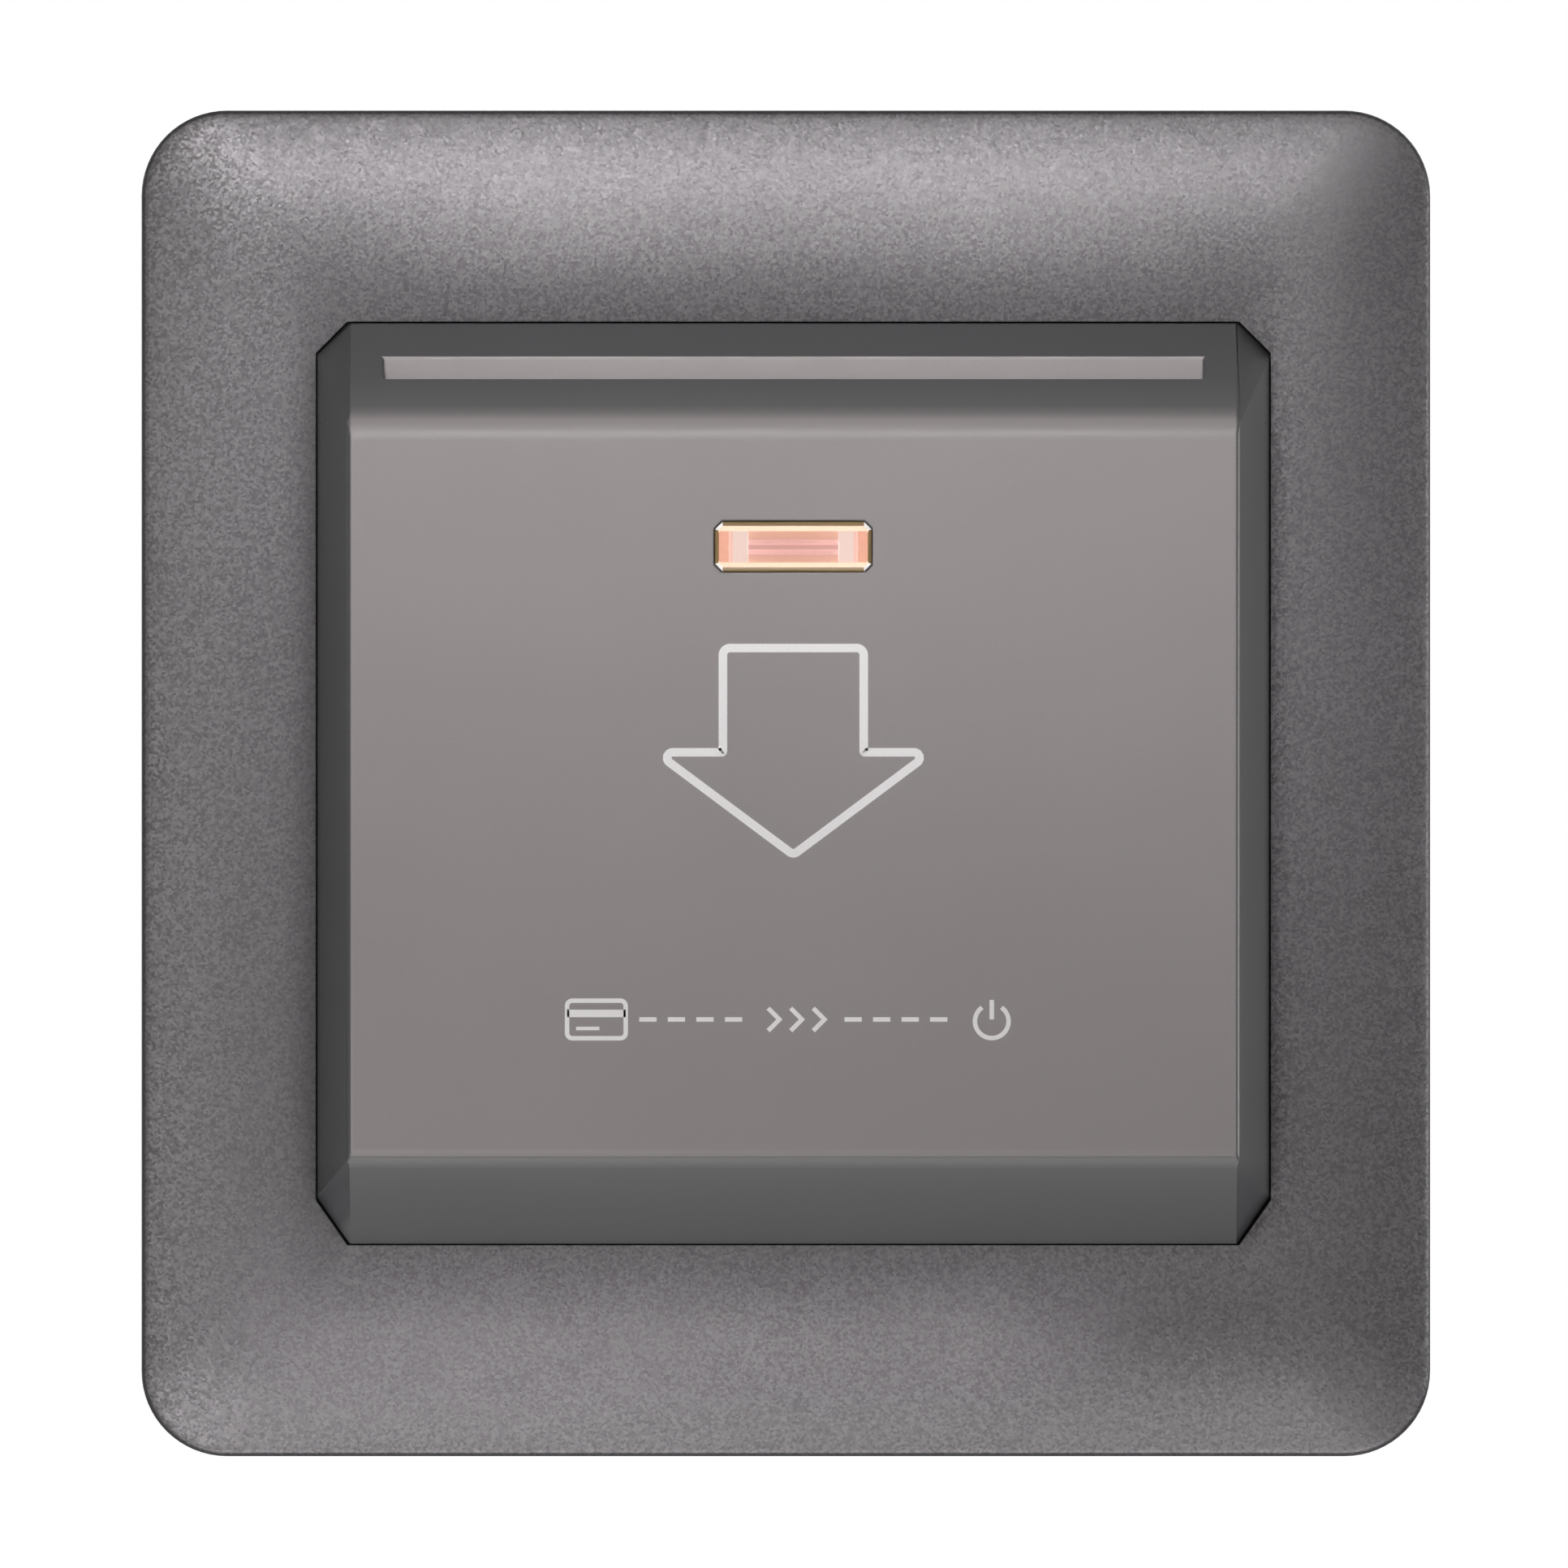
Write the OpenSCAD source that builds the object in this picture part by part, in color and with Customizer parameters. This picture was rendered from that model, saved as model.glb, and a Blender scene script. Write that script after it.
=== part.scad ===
// Hotel key card switch for a square wall box.
// A clip-on plate surrounds a raised card holder. Behind them are the card lever,
// the switch that it works, the screw terminals and the neon locator lamp.
// Each piece is drawn lying on its back: x to the right, y up the wall, z out of the wall,
// with z = 0 at the wall. stand() then turns it upright, so that its front faces -Y.

/* [Plate] */
// Width of the plate
plate_w = 86; // [84:0.5:92]
// Height of the plate
plate_h = 89.8; // [86:0.2:96]
// Corner radius of the plate's outline
plate_corner = 5.7; // [4:0.1:8]
// Height of the plate's front beside the card holder
plate_crown = 8.4; // [7.6:0.1:9.4]
// Fall of the plate's front from there to its edge
plate_fall = 1.5; // [0.8:0.1:2.2]
// Width of the curved border of the plate's front
plate_roll = 9; // [6:0.5:10]
// Wall thickness of the plate
plate_wall = 2; // [1.6:0.1:2.6]
// Wall thickness of the skirt round the plate's opening
skirt_wall = 1.6; // [1.2:0.1:2.2]
// How far the plate sits to the left of the card holder
plate_shift = 0.5; // [0:0.1:1]
// Gap between the plate and the card holder
plate_gap = 0.2; // [0.15:0.05:0.4]
// Width of one clip on the plate
clip_w = 10; // [6:0.5:14]
// Distance of the clips from the middle
clip_side = 16; // [10:0.5:18]

/* [Card holder] */
// Width of the card holder where it leaves the plate
holder_w = 63.5; // [62.5:0.1:66]
// Height of the card holder where it leaves the plate
holder_h = 61.4; // [59:0.1:66]
// Distance of the card holder's front from the wall
holder_front = 19.6; // [18.8:0.1:22]
// Wall thickness of the card holder
holder_wall = 2; // [1.6:0.1:2.2]
// Width of the flat front
face_w = 59.3; // [58.5:0.1:61]
// Top edge of the flat front above the middle
face_top = 24; // [22:0.1:26]
// Bottom edge of the flat front below the middle
face_low = 25.2; // [23.5:0.1:27]
// Cut corner at the top of the outline
corner_top = 2.1; // [1:0.1:3]
// Width of the cut corner at the bottom of the outline
corner_low_w = 2.1; // [1:0.1:3]
// Height of the cut corner at the bottom of the outline
corner_low_h = 3; // [1:0.1:4]
// Rounding of the front's top edge
round_top = 2.2; // [0.6:0.1:3]
// Rounding of the front's bottom edge
round_low = 1.5; // [0.6:0.1:3]
// Rounding of the front's side edges
round_side = 0.5; // [0.3:0.1:1]

/* [Card slot] */
// Width of the slot
slot_w = 54.6; // [54.2:0.1:55.4]
// Gap that the card drops into
slot_gap = 2.4; // [1.6:0.1:2.6]
// Gap that the ribs leave for the card in front of the tray
card_gap = 1; // [0.95:0.05:1.3]
// Distance of the slot's rear wall from the wall
slot_back = 12.2; // [11.6:0.1:12.6]
// Thickness of the guides along the card's edges
guide_t = 1.2; // [0.8:0.1:1.4]
// Reach of the ribs over the card's edges
rib_reach = 1.2; // [0.8:0.1:2.4]
// Thickness of the tray behind the card
tray_t = 2; // [1.6:0.1:2.4]
// Wall thickness of the tray's skirt
tray_wall = 1.6; // [1.2:0.1:2]
// Thickness of the ledge that stops the card
stop_t = 1.2; // [0.8:0.1:2]
// Free gap between the tray and the card holder's walls
tray_play = 0.4; // [0.3:0.05:0.6]

/* [Lamp] */
// Width of the lamp window
lens_w = 10.4; // [9.6:0.1:12]
// Height of the lamp window
lens_h = 3.3; // [2.8:0.1:4.2]
// Cut corners of the lamp window
lens_clip = 0.5; // [0.3:0.1:0.9]
// Height of the lamp window above the middle
lens_up = 15.75; // [15:0.05:16.5]
// Depth of the lamp window
lens_depth = 4.2; // [3.4:0.1:4.4]
// Width of the lip behind the lamp window's edge
lens_lip = 1; // [0.6:0.1:1.4]
// Outer radius of the lamp's glass tube
tube_r = 1.45; // [1.2:0.05:1.6]
// Wall thickness of the lamp's glass tube
tube_wall = 0.35; // [0.25:0.05:0.5]
// Length of the lamp's glass tube
tube_len = 8.6; // [8.2:0.1:9]
// Radius of an electrode
electrode_r = 0.18; // [0.14:0.02:0.26]
// Distance between the electrodes
electrode_pitch = 0.65; // [0.55:0.05:0.8]
// Distance between the inner faces of the lamp's posts
post_gap = 6; // [5:0.1:6.4]
// Thickness of a lamp post
post_t = 1.1; // [0.8:0.1:1.3]
// Radius of the lamp leads
lead_r = 0.3; // [0.2:0.05:0.4]
// Radius of the lamp's resistor
resistor_r = 0.9; // [0.6:0.05:1]
// Length of the lamp's resistor
resistor_len = 4.4; // [3:0.1:5.4]

/* [Yoke] */
// Gap between the ends of the yoke and the plate's walls
yoke_room = 3; // [2:0.5:4]
// Height of the yoke
yoke_h = 70; // [68:0.5:74]
// Thickness of the yoke
yoke_t = 1.2; // [1:0.1:1.5]
// Corner radius of the yoke
yoke_corner = 4; // [2:0.5:6]
// Distance between the two wall fixing slots
fix_spacing = 60.3; // [60:0.1:61]
// Width of a wall fixing slot
fix_w = 4.2; // [3.8:0.1:4.6]
// Length of a wall fixing slot from end to end
fix_len = 6.6; // [6:0.1:7]
// Radius kept free for the head of a wall fixing screw
fix_head_r = 4.2; // [3.8:0.1:4.4]
// Radius of an assembly screw's thread
screw_r = 1.25; // [1:0.05:1.4]
// Radius of an assembly screw's sunk head
screw_head_r = 2.3; // [2:0.05:2.4]
// Length of an assembly screw
screw_len = 8; // [6:0.5:9]

/* [Base] */
// Width of the base inside the wall box
base_w = 46; // [45:0.5:46.5]
// Height of the base inside the wall box
base_h = 52; // [50:0.5:53]
// Depth of the base inside the wall box
base_depth = 23; // [22:0.5:27]
// Depth of the shelf that carries the terminals
shelf_depth = 6; // [5:0.5:8]
// Wall thickness of the base
base_wall = 1.8; // [1.4:0.1:2.2]
// Corner radius of the base
base_corner = 2; // [1:0.1:3]
// Thickness of the base's flange
flange_t = 2; // [1.6:0.1:2.6]

/* [Lever] */
// Height of the lever's pin above the middle
pivot_up = 4; // [3.6:0.1:4.6]
// Distance of the lever's pin from the wall
pivot_out = 5.5; // [5.2:0.1:5.8]
// Radius of the lever's pin
pin_r = 1; // [0.8:0.05:1.2]
// Play of the lever on its pin
pin_play = 0.05; // [0.02:0.01:0.1]
// Drop from the pin to the middle of the lever's nose
nose_drop = 16; // [15:0.1:17]
// How far the nose stands out of the tray at rest
nose_reach = 4.1; // [3.4:0.05:4.4]
// Radius of the nose
nose_r = 2; // [1.5:0.1:2.2]
// Thickness of the lever's arm
arm_t = 3; // [2.4:0.1:3.2]
// Width of the lever
lever_w = 12; // [11:0.2:13]
// Radius of the lever's hub
hub_r = 2.7; // [2.2:0.1:3]
// Distance from the pin to the pad that works the switch
press_arm = 6.5; // [6:0.1:7]
// Radius of that pad
press_r = 1.5; // [1.2:0.1:1.6]
// Wire diameter of the lever's spring
spring_wire = 0.7; // [0.5:0.05:0.7]
// Radius of the spring's turns at the middle of the wire
spring_r = 2.1; // [1.8:0.05:2.2]
// Full turns of the spring
spring_turns = 4; // [2:1:4]
// Length of the spring's leg along the lever
spring_leg = 8; // [6:0.5:9]

/* [Switch] */
// Gap between the switch's lower end and the base
switch_room = 0.3; // [0.2:0.1:1]
// Thickness of the switch
switch_t = 10.3; // [9.6:0.1:10.6]
// Height of the switch
switch_h = 15.9; // [15:0.1:16.4]
// Wall thickness of the switch
switch_wall = 1.4; // [1:0.1:1.6]
// How far the plunger stands out of the switch
plunger_rise = 1.85; // [1.75:0.05:2.2]
// Radius of the plunger
plunger_r = 1.4; // [1.1:0.1:1.5]
// Distance of the plunger from the switch's upper end
plunger_inset = 6.4; // [5.8:0.1:6.6]
// Thickness of the contact blade
blade_t = 0.4; // [0.3:0.05:0.5]
// Width of the contact blade
blade_w = 5; // [4:0.1:6]
// Radius of a contact
contact_r = 1.4; // [1:0.1:1.6]
// Thickness of a contact
contact_t = 0.6; // [0.4:0.1:0.8]
// Width of the switch's metal tabs
tab_w = 4.8; // [4:0.1:6.3]
// Thickness of the switch's metal tabs and of the straps
tab_t = 0.8; // [0.6:0.1:1]

/* [Terminals] */
// Width of a terminal block
block_w = 9; // [8:0.1:10]
// Height of a terminal block
block_h = 10; // [9:0.1:10.5]
// Depth of a terminal block
block_d = 9.4; // [9:0.1:10]
// Radius of the wire entry
wire_r = 1.9; // [1.5:0.05:2.2]
// Radius of a clamp screw's thread
clamp_r = 1.7; // [1.4:0.1:2]
// Radius of a clamp screw's head
clamp_head_r = 2.9; // [2.4:0.1:3.4]
// Height of a clamp screw's head
clamp_head_h = 2; // [1.6:0.1:2.2]
// Length of a clamp screw's thread
clamp_len = 3.6; // [3:0.1:4]
// Thickness of the walls between the terminals
barrier_t = 1.6; // [1.2:0.1:2]
// Thickness of the terminal carrier's plate
carrier_t = 1.6; // [1.2:0.1:2]

/* [Hidden] */

$fn = 96;
roll_steps = 8;
arc_steps = 8;
// Overlap of shapes that are fused, and overrun of cuts
lap = 0.5;
over = 1;
// Fit of fixed pieces in their seats, and gap between pieces that move past each other
fit = 0.05;
clear = 0.2;
// Swell of a wire at its bends
bend_swell = 1.04;
// Depth by which a corner facet of the card holder runs past the cut corner under it
facet_bite = 0.1;

// Levels out of the wall
flange_top = yoke_t + flange_t;
holder_rise = holder_front - plate_crown;
slot_front = slot_back + slot_gap;
skin_back = holder_front - holder_wall;
tray_step = 0.15;
tray_face = slot_back - tray_step;
tray_back = tray_face - tray_t;
cavity_top = plate_crown - plate_fall - plate_wall;
roll_r = (pow(plate_roll, 2) + pow(plate_fall, 2)) / (2 * plate_fall);

// Half-size of a sloped wall of the card holder at a level, moved inwards by inset
function slope_at(base, front, level, inset) =
  base - (base - front) * (level - plate_crown) / holder_rise
  - inset * norm([base - front, holder_rise]) / holder_rise;
// Level at which a sloped wall moved inwards meets the straight wall below it
function bend_level(base, front, inset) =
  plate_crown - inset * (norm([base - front, holder_rise]) - holder_rise) / (base - front);

// Tray outline, kept clear of the card holder's sloped walls
tray_half = slope_at(holder_w / 2, face_w / 2, tray_face, holder_wall) - tray_play;
tray_top = slope_at(holder_h / 2, face_top, tray_face, holder_wall) - tray_play;
tray_low = slope_at(holder_h / 2, face_low, tray_face, holder_wall) - tray_play;
rib_x = slot_w / 2 - rib_reach;
rib_back = tray_face + card_gap;
rib_top = slope_at(holder_h / 2, face_top, slot_front, holder_wall);
rib_ramp = 3;
stop_half = rib_x - tray_play;
stop_front = slot_front - tray_play;
stop_low = slope_at(holder_h / 2, face_low, stop_front, holder_wall) - tray_play;
boss_wall = 0.95;
boss_drop = 3.8;
boss_r = screw_r + boss_wall;
boss_x = tray_half - boss_r;
boss_y = tray_top - boss_drop;
snap_up = 12;
snap_len = 8;
snap_rise = 2;
snap_low = flange_top + snap_rise;
snap_h = 1.2;
snap_bite = 0.6;

// Yoke, and the metal kept round each of its sunk screws
yoke_w = plate_w - 2 * (plate_wall + yoke_room);
screw_pad_r = screw_head_r + 1;

// Plate clips
clip_bite = 0.9;
clip_low = 0.3;
skirt_low = yoke_t + clip_low;
fix_head_h = 2.4;
flange_inset = 0.35;

// Lever, its spring and its swing
nose_up = pivot_up - nose_drop;
nose_out = tray_face + nose_reach - nose_r;
arm_rise = nose_out - pivot_out;
arm_len = norm([nose_drop, arm_rise]);
arm_angle = atan2(arm_rise, nose_drop);
swing = arm_angle - asin((tray_face - nose_r - pivot_out) / arm_len);
window_half = lever_w / 2 + 2 * clear;
arm_cross = pivot_up - nose_drop * (tray_back - pivot_out) / arm_rise;
window_top = arm_cross + arm_t / 2 / sin(arm_angle) + 3 * clear;
window_low = pivot_up - arm_len * cos(arm_angle - swing) - nose_r - 3 * clear;
ear_t = 2.4;
ear_in = window_half;
ear_r = hub_r + 2 * fit;
coil_half = 2.6;
coil_room = spring_r + spring_wire / 2 + 2 * clear;
coil_gap_half = coil_half + spring_wire / 2 + clear;
exit_turn = spring_turns + (90 + arm_angle) / 360;
press_half = coil_half - spring_wire / 2 - clear;
spring_seat = pivot_up + spring_r - spring_wire / 2 - 2 * fit;
seat_t = 1;

// Switch, worked from the lever's pad
press_gap = 0.15;
plunger_up = pivot_up - press_arm;
plunger_tip = pivot_out - press_r - press_gap;
case_top = plunger_tip - plunger_rise;
case_floor = case_top - switch_h;
case_upper = plunger_up + plunger_inset;
case_lower = switch_room + base_wall - base_h / 2;
lid_t = 1.2;
lid_x = switch_t / 2 - lid_t;
blade_inset = 3.9;
blade_drop = 7.6;
blade_root_r = 0.8;
blade_tail = 1.2;
contact_inset = 2.9;
collar_lip = 0.8;
tab_len = 5.6;
blade_up = case_lower + blade_inset;
blade_out = case_top - blade_drop;
contact_up = case_upper - contact_inset;
blade_end = contact_up + blade_tail;
blade_reach = plunger_up - blade_up;
plunger_foot = blade_out + blade_t / 2 + clear;
collar_r = plunger_r + collar_lip;
collar_t = 1.4;
travel = press_arm * swing * PI / 180;
blade_swing = travel / blade_reach * 180 / PI;
contact_throw = (contact_up - blade_up + contact_r) * sin(blade_swing);
contact_back = blade_out - blade_t / 2 - contact_t;
fixed_face = contact_back - contact_throw - clear;
tab_low = case_floor - tab_len;
strap_h = 4;
strap_low = tab_low + clear;
// Tray's post on the switch, and the base's supports and cheeks round it
post_low = 1.6;
post_high = 1;
support_t = 1.8;
support_low = 11;
support_high = 6;
cheek_t = 1.6;
cheek_low = 13;
cheek_high = 4;
cheek_drop = 8;

// Base and terminals, lined up with the lamp above them
base_floor = -base_depth;
bay_pitch = base_w / 3;
block_room = 1.75;
wire_depth = 5.45;
barrier_over = 0.6;
peg_over = 1.6;
peg_r = 1.4;
deep_top = lens_up - block_h / 2 - block_room;
block_up = lens_up - block_h / 2;
shelf_back = -shelf_depth;
carrier_back = shelf_back - carrier_t;
block_back = carrier_back - block_d;
wire_out = carrier_back - wire_depth;
clamp_tip = wire_out - wire_r - 2 * fit;
clamp_top = clamp_tip - clamp_len;
barrier_back = clamp_top - clamp_head_h - barrier_over;
peg_top = shelf_back + base_wall + peg_over;
barriers = [(barrier_t - base_w) / 2, -bay_pitch / 2, bay_pitch / 2, (base_w - barrier_t) / 2];
bays = [-bay_pitch, 0, bay_pitch];

// Lamp, just behind the tray's face
lamp_recess = 0.3;
lamp_end_room = 1.2;
lamp_side_room = 0.35;
lamp_holder_t = 1.2;
lamp_leg_t = 1.1;
post_side = 0.2;
lead_stub = 0.6;
lens_proud = 0.1;
tube_out = tray_face - tube_r - lamp_recess;
lamp_half = tube_len / 2 + lamp_end_room;
lamp_room = tube_r + lamp_side_room;
lamp_floor = tube_out - tube_r - lamp_holder_t;
lamp_holder_half = post_gap / 2 + post_t;
lead_out = tray_back - resistor_r - 2 * clear;
lead_turn = tube_len / 2 + lead_stub;
resistor_mid = (lead_turn + bay_pitch) / 2;

// Turns a piece from lying on its back to standing against the wall
module stand() {
  rotate([90, 0, 0]) children();
}

// Extrudes an outline drawn as up the wall and out of the wall, along x from one value to another
module sideways(from, to) {
  translate([from, 0, 0]) rotate([90, 0, 90]) linear_extrude(to - from) children();
}

// Extrudes an outline drawn as across and out of the wall, along the height from one value to another
module upwards(from, to) {
  translate([0, to, 0]) rotate([90, 0, 0]) linear_extrude(to - from) children();
}

// Box from one corner to the opposite one
module box(low, high) {
  translate(low) cube(high - low);
}

// Round rod between two points, which lie along one axis
module rod(a, b, r) {
  d = b - a;
  translate(a)
    rotate([0, acos(d.z / norm(d)), atan2(d.y, d.x)]) cylinder(r = r, h = norm(d), $fn = 32);
}

// Wire through a list of points, rounded at its bends
module wire(points, r) {
  for (i = [0 : len(points) - 2]) rod(points[i], points[i + 1], r);
  for (i = [1 : len(points) - 2]) translate(points[i]) sphere(r = r * bend_swell, $fn = 32);
}

module rounded_rect(w, h, r) {
  square([w - 2 * r, h], center = true);
  square([w, h - 2 * r], center = true);
  for (x = [-1, 1], y = [-1, 1]) translate([x * (w / 2 - r), y * (h / 2 - r)]) circle(r);
}

// Slot along x with round ends
module slot_hole(w, length, depth) {
  for (x = [-1, 1]) translate([x * (length - w) / 2, 0, 0]) cylinder(r = w / 2, h = depth);
  translate([-(length - w) / 2, -w / 2, 0]) cube([length - w, w, depth]);
}

// Outline of the card holder where it leaves the plate, grown on every side
function holder_outline(grow) =
  let (a = holder_w / 2 + grow, b = holder_h / 2 + grow)
  [
    [-a, corner_low_h - b], [corner_low_w - a, -b], [a - corner_low_w, -b], [a, corner_low_h - b],
    [a, b - corner_top], [a - corner_top, b], [corner_top - a, b], [-a, b - corner_top]
  ];

// Points of an arc that rounds the corner at p between a and b
function rounded_corner(a, p, b, r) =
  let (
    u = (a - p) / norm(a - p),
    v = (b - p) / norm(b - p),
    half = acos(u * v) / 2,
    middle = p + (u + v) / norm(u + v) * r / sin(half),
    start = p + u * r / tan(half) - middle,
    end = p + v * r / tan(half) - middle
  )
  [for (i = [0 : arc_steps])
    let (way = start * (1 - i / arc_steps) + end * (i / arc_steps))
    middle + way / norm(way) * r];

// Side view of the card holder: straight below the plate's front, then sloped to its own front
function holder_profile(base, low, high, inset, r_low, r_high) =
  let (
    top = holder_front - inset,
    a = [-slope_at(base, low, top, inset), top],
    b = [slope_at(base, high, top, inset), top],
    foot_a = [inset - base, bend_level(base, low, inset)],
    foot_b = [base - inset, bend_level(base, high, inset)]
  )
  concat(
    [[inset - base, flange_top - (inset > 0 ? over : 0)], foot_a],
    inset > 0 ? [a, b] : concat(rounded_corner(foot_a, a, b, r_low), rounded_corner(a, b, foot_b, r_high)),
    [foot_b, [base - inset, flange_top - (inset > 0 ? over : 0)]]
  );

// Everything outside a sloped corner facet, from a corner of the flat front to a cut corner of the outline
module corner_facet(face_y, cut_w, cut_h) {
  tip = [face_w / 2, face_y, holder_front];
  u = [holder_w / 2, holder_h / 2 - cut_h, plate_crown] - tip;
  v = [holder_w / 2 - cut_w, holder_h / 2, plate_crown] - tip;
  n = cross(u, v) / norm(cross(u, v));
  a = u / norm(u);
  b = cross(n, a);
  multmatrix([[a.x, b.x, n.x, tip.x], [a.y, b.y, n.y, tip.y], [a.z, b.z, n.z, tip.z]])
    translate([-holder_h, -holder_h, -facet_bite]) cube(2 * holder_h);
}

// The card holder's block, moved inwards by inset
module holder_block(inset) {
  low = flange_top - (inset > 0 ? over : 0);
  difference() {
    intersection() {
      translate([0, 0, low]) linear_extrude(holder_front) polygon(holder_outline(-inset));
      sideways(-holder_w, holder_w)
        polygon(holder_profile(holder_h / 2, face_low, face_top, inset, round_low, round_top));
      upwards(-holder_h, holder_h)
        polygon(holder_profile(holder_w / 2, face_w / 2, face_w / 2, inset, round_side, round_side));
    }
    if (inset == 0) for (side = [0, 1]) mirror([side, 0, 0]) {
      corner_facet(face_top, corner_top, corner_top);
      mirror([0, 1, 0]) corner_facet(face_low, corner_low_w, corner_low_h);
    }
  }
}

// Side view of the plate: flat in the middle, curved down towards both edges
module plate_profile(span) {
  half = span / 2;
  right = [for (i = [roll_steps : -1 : 0])
    let (a = asin(plate_roll / roll_r) * i / roll_steps)
    [half - plate_roll + roll_r * sin(a), plate_crown - roll_r * (1 - cos(a))]];
  left = [for (i = [roll_steps : -1 : 0]) [-right[i].x, right[i].y]];
  polygon(concat([[-half, 0], [half, 0]], right, left));
}

// Clip-on plate: curved front, hollow back, a skirt round its opening and four clips
module outer_plate() {
  color([0.40, 0.39, 0.40]) stand() {
    difference() {
      translate([-plate_shift, 0, 0]) difference() {
        intersection() {
          linear_extrude(plate_crown + over) rounded_rect(plate_w, plate_h, plate_corner);
          sideways(-plate_w, plate_w) plate_profile(plate_h);
          upwards(-plate_h, plate_h) plate_profile(plate_w);
        }
        translate([0, 0, -over]) linear_extrude(cavity_top + over)
          rounded_rect(plate_w - 2 * plate_wall, plate_h - 2 * plate_wall, plate_corner - plate_wall);
      }
      translate([0, 0, -over]) linear_extrude(plate_crown + 2 * over) polygon(holder_outline(plate_gap));
    }
    difference() {
      translate([0, 0, skirt_low]) linear_extrude(cavity_top - skirt_low + lap)
        polygon(holder_outline(plate_gap + skirt_wall));
      translate([0, 0, -over]) linear_extrude(plate_crown + 2 * over) polygon(holder_outline(plate_gap));
      for (side = [-1, 1])
        box([side * fix_spacing / 2 - fix_head_r, -fix_head_r, 0],
            [side * fix_spacing / 2 + fix_head_r, fix_head_r, yoke_t + fix_head_h]);
    }
    for (x = [-clip_side, clip_side], side = [0, 1]) mirror([0, side, 0]) translate([x, 0, 0]) {
      box([-clip_w / 2, holder_h / 2 + plate_gap, clip_low],
          [clip_w / 2, holder_h / 2 + plate_gap + skirt_wall, cavity_top]);
      box([-clip_w / 2, holder_h / 2 + plate_gap - clip_bite - fit, clip_low],
          [clip_w / 2, holder_h / 2 + plate_gap + lap, yoke_t - clear]);
    }
  }
}

// Steel yoke that the wall screws hold: window for the base, fixing slots and clip windows
module mounting_yoke() {
  color([0.72, 0.72, 0.74]) stand() difference() {
    linear_extrude(yoke_t) rounded_rect(yoke_w, yoke_h, yoke_corner);
    translate([0, 0, -over]) linear_extrude(yoke_t + 2 * over) difference() {
      rounded_rect(base_w + 4 * fit, base_h + 4 * fit, base_corner);
      for (x = [-boss_x, boss_x], y = [-boss_y, boss_y]) translate([x, y]) circle(screw_pad_r);
    }
    for (side = [-1, 1])
      translate([side * fix_spacing / 2, 0, -over]) slot_hole(fix_w, fix_len, yoke_t + 2 * over);
    for (x = [-boss_x, boss_x], y = [-boss_y, boss_y]) translate([x, y, 0]) screw_shape(fit);
    for (x = [-clip_side, clip_side], side = [0, 1]) mirror([0, side, 0])
      box([x - clip_w / 2 - clear, holder_h / 2 + plate_gap - clip_bite - fit - clear, -over],
          [x + clip_w / 2 + clear, holder_h / 2 + plate_gap + skirt_wall + clear, yoke_t + over]);
  }
}

// Sunk screw, or its hole when grown
module screw_shape(grow) {
  cylinder(r1 = screw_head_r + grow, r2 = screw_r + grow, h = yoke_t);
  cylinder(r = screw_r + grow, h = screw_len + grow);
}

// Screws that hold yoke, base and tray together
module assembly_screws() {
  recess_t = 0.6;
  color([0.78, 0.78, 0.80]) stand()
    for (x = [-boss_x, boss_x], y = [-boss_y, boss_y]) translate([x, y, 0]) difference() {
      screw_shape(0);
      for (turn = [0, 90]) rotate([0, 0, turn])
        translate([-screw_r, -recess_t / 2, -over]) cube([2 * screw_r, recess_t, over + recess_t]);
    }
}

// Outline of the lamp window
function lens_outline(grow) =
  let (a = lens_w / 2 + grow, b = lens_h / 2 + grow, c = lens_clip)
  [[-a, c - b], [c - a, -b], [a - c, -b], [a, c - b], [a, b - c], [a - c, b], [c - a, b], [-a, b - c]];

// Card holder's hollow cover, with the slot in its sloped top and the guides inside
module front_cover() {
  color([0.55, 0.53, 0.53]) stand() difference() {
    union() {
      difference() {
        holder_block(0);
        holder_block(holder_wall);
      }
      intersection() {
        holder_block(0);
        for (side = [0, 1]) mirror([side, 0, 0]) {
          sideways(rib_x, slot_w / 2 + guide_t)
            polygon([
              [-holder_h, rib_back], [rib_top - rib_ramp, rib_back], [rib_top, slot_front],
              [holder_h, slot_front], [holder_h, skin_back + lap], [-holder_h, skin_back + lap]
            ]);
          box([slot_w / 2, -holder_h, tray_face + tray_play],
              [slot_w / 2 + guide_t, holder_h, skin_back + lap]);
        }
      }
      for (side = [0, 1], y = [-snap_up, snap_up]) mirror([side, 0, 0])
        box([tray_half - snap_bite, y - snap_len / 2, snap_low],
            [holder_w / 2 - holder_wall + lap, y + snap_len / 2, snap_low + snap_h]);
    }
    box([-slot_w / 2, slope_at(holder_h / 2, face_top, slot_front, holder_wall) - lap, slot_back],
        [slot_w / 2, holder_h, slot_front]);
    translate([0, lens_up, skin_back - over]) linear_extrude(holder_wall + 2 * over)
      polygon(lens_outline(fit));
  }
}

// Clear window that shows the lamp, held from behind by its lip
module lamp_window() {
  color([0.93, 0.68, 0.60]) stand() translate([0, lens_up, 0]) {
    translate([0, 0, holder_front - lens_depth]) linear_extrude(lens_depth + lens_proud)
      polygon(lens_outline(0));
    translate([0, 0, holder_front - lens_depth]) linear_extrude(lens_depth - holder_wall)
      polygon(lens_outline(lens_lip));
  }
}

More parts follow.
